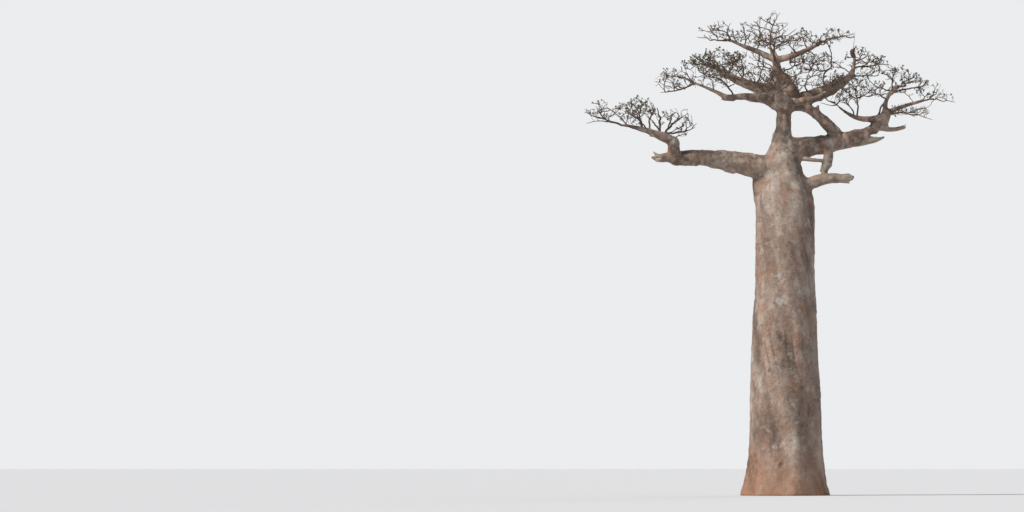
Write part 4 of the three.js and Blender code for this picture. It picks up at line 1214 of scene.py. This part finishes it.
def bark_material():
    m = Nodes("baobab_bark")
    place = m.add("TexCoord").outputs["Object"]
    where = m.attribute("bark_co").outputs["Vector"]
    own = m.attribute("own").outputs["Fac"]
    # both run crooked: a slow swirl is added to the place along the limb
    swirl = m.add("TexNoise")
    swirl.inputs["Scale"].default_value = 0.9
    swirl.inputs["Detail"].default_value = 3
    m.link(place, swirl.inputs["Vector"])
    bend = m.add("VectorMath", operation="MULTIPLY_ADD")
    m.link(swirl.outputs["Color"], bend.inputs[0])
    bend.inputs[1].default_value = (0.55, 0.55, 0.9)
    m.link(where, bend.inputs[2])
    where = bend.outputs[0]
    # broad patches of red-grey, copper and pale grey
    broad = m.noise(m.scaled(place, (1.0, 1.0, 0.6)), 0.55, 6, 0.62, 0.5)
    base = m.ramp(broad, (0.34, (0.158, 0.104, 0.079)), (0.46, (0.250, 0.176, 0.136)),
                  (0.56, (0.318, 0.246, 0.200)), (0.70, (0.405, 0.345, 0.296)))
    copper = m.noise(place, 1.25, 5, 0.6, 0.6)
    base = m.mix("MIX", m.ramp(copper, (0.52, grey(0.0)), (0.66, grey(0.62))), base, (0.292, 0.158, 0.098))
    # mottling of two sizes
    mid = m.noise(place, 3.1, 5, 0.62, 0.3)
    base = m.mix("MULTIPLY", 0.9, base, m.ramp(mid, (0.30, grey(0.70)), (0.50, grey(1.0)), (0.72, grey(1.20))))
    fine = m.noise(place, 11.0, 6, 0.68)
    base = m.mix("MULTIPLY", 0.9, base, m.ramp(fine, (0.30, grey(0.66)), (0.52, grey(1.0)), (0.74, grey(1.24))))
    # run marks along the limb, only in places
    runs_down = m.noise(m.scaled(where, (2.6, 2.6, 0.30)), 1.0, 5, 0.62)
    some = m.ramp(m.noise(place, 0.8, 3), (0.44, grey(0.0)), (0.58, grey(1.0)))
    marks = m.ramp(runs_down, (0.34, grey(0.56)), (0.47, grey(1.0)), (0.70, grey(1.14)))
    base = m.mix("MULTIPLY", m.math("MULTIPLY", m.math("MULTIPLY", some, own), 0.85), base, marks)
    # painted shade darkens the furrows, wrinkles and old scars, and painted light brightens the raised crests between
    # them
    relief_shade = m.attribute("relief_shade").outputs["Fac"]
    # painted shade and painted light from the relief height: darker low down, lighter on the crests
    base = m.mix("MULTIPLY", 0.85, base, m.ramp(relief_shade, (0.18, grey(0.50)), (0.50, grey(1.0)), (0.80, grey(1.22))))
    furrow = m.attribute("furrow").outputs["Fac"]
    # painted shade in the furrows
    base = m.mix("MIX", m.math("MULTIPLY", furrow, 0.72, True), base, (0.082, 0.053, 0.040))
    wrinkle = m.attribute("wrinkle").outputs["Fac"]
    # painted shade along the wrinkles
    thin = m.ramp(wrinkle, (0.42, grey(0.0)), (0.95, grey(0.55)))
    base = m.mix("MIX", thin, base, (0.112, 0.072, 0.054))
    scar = m.attribute("scar").outputs["Fac"]
    # painted shade in the hollows of the old scars
    base = m.mix("MIX", m.math("MULTIPLY", scar, 0.48, True), base, (0.115, 0.074, 0.055))
    # small dark pits in clusters
    pits = m.add("TexVoronoi", feature="F1")
    pits.inputs["Scale"].default_value = 3.4
    m.link(place, pits.inputs["Vector"])
    pit = m.ramp(pits.outputs["Distance"], (0.05, grey(0.42)), (0.16, grey(1.0)))
    few = m.ramp(m.noise(place, 0.9, 3, 0.5, 0.2), (0.46, grey(0.0)), (0.56, grey(1.0)))
    base = m.mix("MULTIPLY", few, base, pit)
    # pale lichen, and a little rust-coloured
    lichen = m.noise(place, 1.6, 7, 0.66, 0.15)
    base = m.mix("MIX", m.ramp(lichen, (0.56, grey(0.0)), (0.68, grey(0.55))), base, (0.455, 0.425, 0.375))
    rust = m.noise(m.scaled(place, (1.0, 1.0, 1.1)), 2.7, 6, 0.7, 0.7)
    base = m.mix("MIX", m.ramp(rust, (0.655, grey(0.0)), (0.70, grey(0.55))), base, (0.360, 0.190, 0.085))
    # red dust round the foot
    height = m.add("SeparateXYZ")
    m.link(place, height.inputs[0])
    dust = m.add("MapRange")
    dust.inputs["From Min"].default_value = 2.8
    dust.inputs["From Max"].default_value = 0.0
    m.link(height.outputs["Z"], dust.inputs["Value"])
    dusty = m.math("MULTIPLY", dust.outputs["Result"], m.math("MULTIPLY", mid, 1.25), True)
    base = m.mix("MIX", dusty, base, (0.310, 0.150, 0.080))
    # broken ends: pale fibrous wood
    broken = m.attribute("broken").outputs["Fac"]
    fibre = m.noise(m.scaled(where, (9.0, 9.0, 0.7)), 1.6, 5, 0.7)
    wood = m.ramp(fibre, (0.32, (0.150, 0.112, 0.084)), (0.50, (0.330, 0.266, 0.208)), (0.68, (0.480, 0.412, 0.335)))
    base = m.mix("MIX", broken, base, wood)
    m.link(base, m.shader.inputs["Base Color"])
    rough = m.ramp(mid, (0.3, grey(0.58)), (0.7, grey(0.86)))
    m.link(rough, m.shader.inputs["Roughness"])
    across = m.noise(m.scaled(where, (0.9, 0.9, 7.0)), 1.0, 5, 0.62, 0.2)
    normal = m.bump(m.math("MULTIPLY", across, own), 0.26, 0.06)
    normal = m.bump(m.math("MULTIPLY", runs_down, own), 0.35, 0.06, normal)
    normal = m.bump(mid, 0.45, 0.08, normal)
    normal = m.bump(fine, 0.55, 0.035, normal)
    normal = m.bump(m.math("MULTIPLY", pit, few), 0.25, 0.05, normal)
    m.link(normal, m.shader.inputs["Normal"])
    m.shader.inputs["Specular IOR Level"].default_value = 0.35
    return m.material


def twig_material():
    m = Nodes("baobab_twig_bark")
    where = m.add("TexCoord").outputs["Object"]
    patch = m.noise(where, 1.1, 4, 0.6)
    base = m.ramp(patch, (0.32, (0.084, 0.056, 0.042)), (0.50, (0.122, 0.084, 0.064)), (0.70, (0.180, 0.136, 0.108)))
    fine = m.noise(where, 24.0, 4, 0.6)
    base = m.mix("MULTIPLY", 1.0, base, m.ramp(fine, (0.3, grey(0.70)), (0.7, grey(1.2))))
    m.link(base, m.shader.inputs["Base Color"])
    m.link(m.ramp(fine, (0.3, grey(0.72)), (0.7, grey(0.9))), m.shader.inputs["Roughness"])
    m.link(m.bump(fine, 0.5, 0.01), m.shader.inputs["Normal"])
    m.shader.inputs["Specular IOR Level"].default_value = 0.25
    return m.material


def leaf_material(name, dark, light):
    m = Nodes(name)
    where = m.add("TexCoord").outputs["Object"]
    patch = m.noise(where, 9.0, 3, 0.6)
    m.link(m.ramp(patch, (0.35, dark), (0.65, light)), m.shader.inputs["Base Color"])
    m.link(m.ramp(patch, (0.3, grey(0.50)), (0.7, grey(0.68))), m.shader.inputs["Roughness"])
    return m.material


bark.data.materials.append(bark_material())
twig_skin = twig_material()
for piece in twig_pieces:
    piece.data.materials.append(twig_skin)
LEAF_COLOURS = {"leaves_olive": ((0.060, 0.070, 0.022), (0.105, 0.118, 0.036)),
                "leaves_dull": ((0.085, 0.074, 0.030), (0.140, 0.124, 0.050)),
                "leaves_dry": ((0.120, 0.072, 0.034), (0.190, 0.124, 0.060))}
for piece in leaf_pieces:
    piece.data.materials.append(leaf_material(piece.name + "_green", *LEAF_COLOURS[piece.name]))

# ---------------------------------------------------- floor, light and the camera
far = 900.0
floor = mesh_object("floor", np.array([(-far, -far, -0.004), (far, -far, -0.004), (far, far, -0.004), (-far, far, -0.004)]),
                    np.array([(0, 1, 2, 3)]), smooth=False)
ground_paint = bpy.data.materials.new("pale_floor")
ground_paint.use_nodes = True
ground_paint.node_tree.nodes["Principled BSDF"].inputs["Base Color"].default_value = (0.645, 0.655, 0.675, 1)
ground_paint.node_tree.nodes["Principled BSDF"].inputs["Roughness"].default_value = 0.9
floor.data.materials.append(ground_paint)

world = bpy.data.worlds.new("pale_world")
world.use_nodes = True
tree = world.node_tree
soft_light = tree.nodes["Background"]
soft_light.inputs["Color"].default_value = (0.84, 0.90, 1.0, 1)
soft_light.inputs["Strength"].default_value = 0.29
pale = tree.nodes.new("ShaderNodeBackground")      # what shows behind the plant
pale.inputs["Color"].default_value = (0.83, 0.845, 0.86, 1)
pale.inputs["Strength"].default_value = 1.0
seen, either = tree.nodes.new("ShaderNodeLightPath"), tree.nodes.new("ShaderNodeMixShader")
tree.links.new(seen.outputs["Is Camera Ray"], either.inputs[0])
tree.links.new(soft_light.outputs[0], either.inputs[1])
tree.links.new(pale.outputs[0], either.inputs[2])
tree.links.new(either.outputs[0], tree.nodes["World Output"].inputs["Surface"])
bpy.context.scene.world = world
bpy.context.scene.view_settings.view_transform = "Standard"


def sun(name, heading, height, strength, spread, colour):
    light = bpy.data.lights.new(name, "SUN")
    light.energy, light.angle, light.color = strength, math.radians(spread), colour
    lamp = bpy.data.objects.new(name, light)
    lamp.rotation_euler = (math.radians(90 - height), 0, math.radians(heading))
    bpy.context.scene.collection.objects.link(lamp)


sun("key_light", -62, 38, 4.0, 8, (1.0, 0.955, 0.90))
sun("fill_light", 55, 25, 0.30, 40, (0.90, 0.95, 1.0))
sun("rim_light", 150, 35, 0.6, 30, (1.0, 0.97, 0.93))

lens = bpy.data.cameras.new("photo_camera")
lens.lens, lens.sensor_width, lens.clip_end = 140.0, 36.0, 4000.0
camera = bpy.data.objects.new("photo_camera", lens)
camera.location = (-13.65, -199.1, 1.6)
camera.rotation_euler = (math.radians(90 + 2.98), 0, 0)
bpy.context.scene.collection.objects.link(camera)
bpy.context.scene.camera = camera
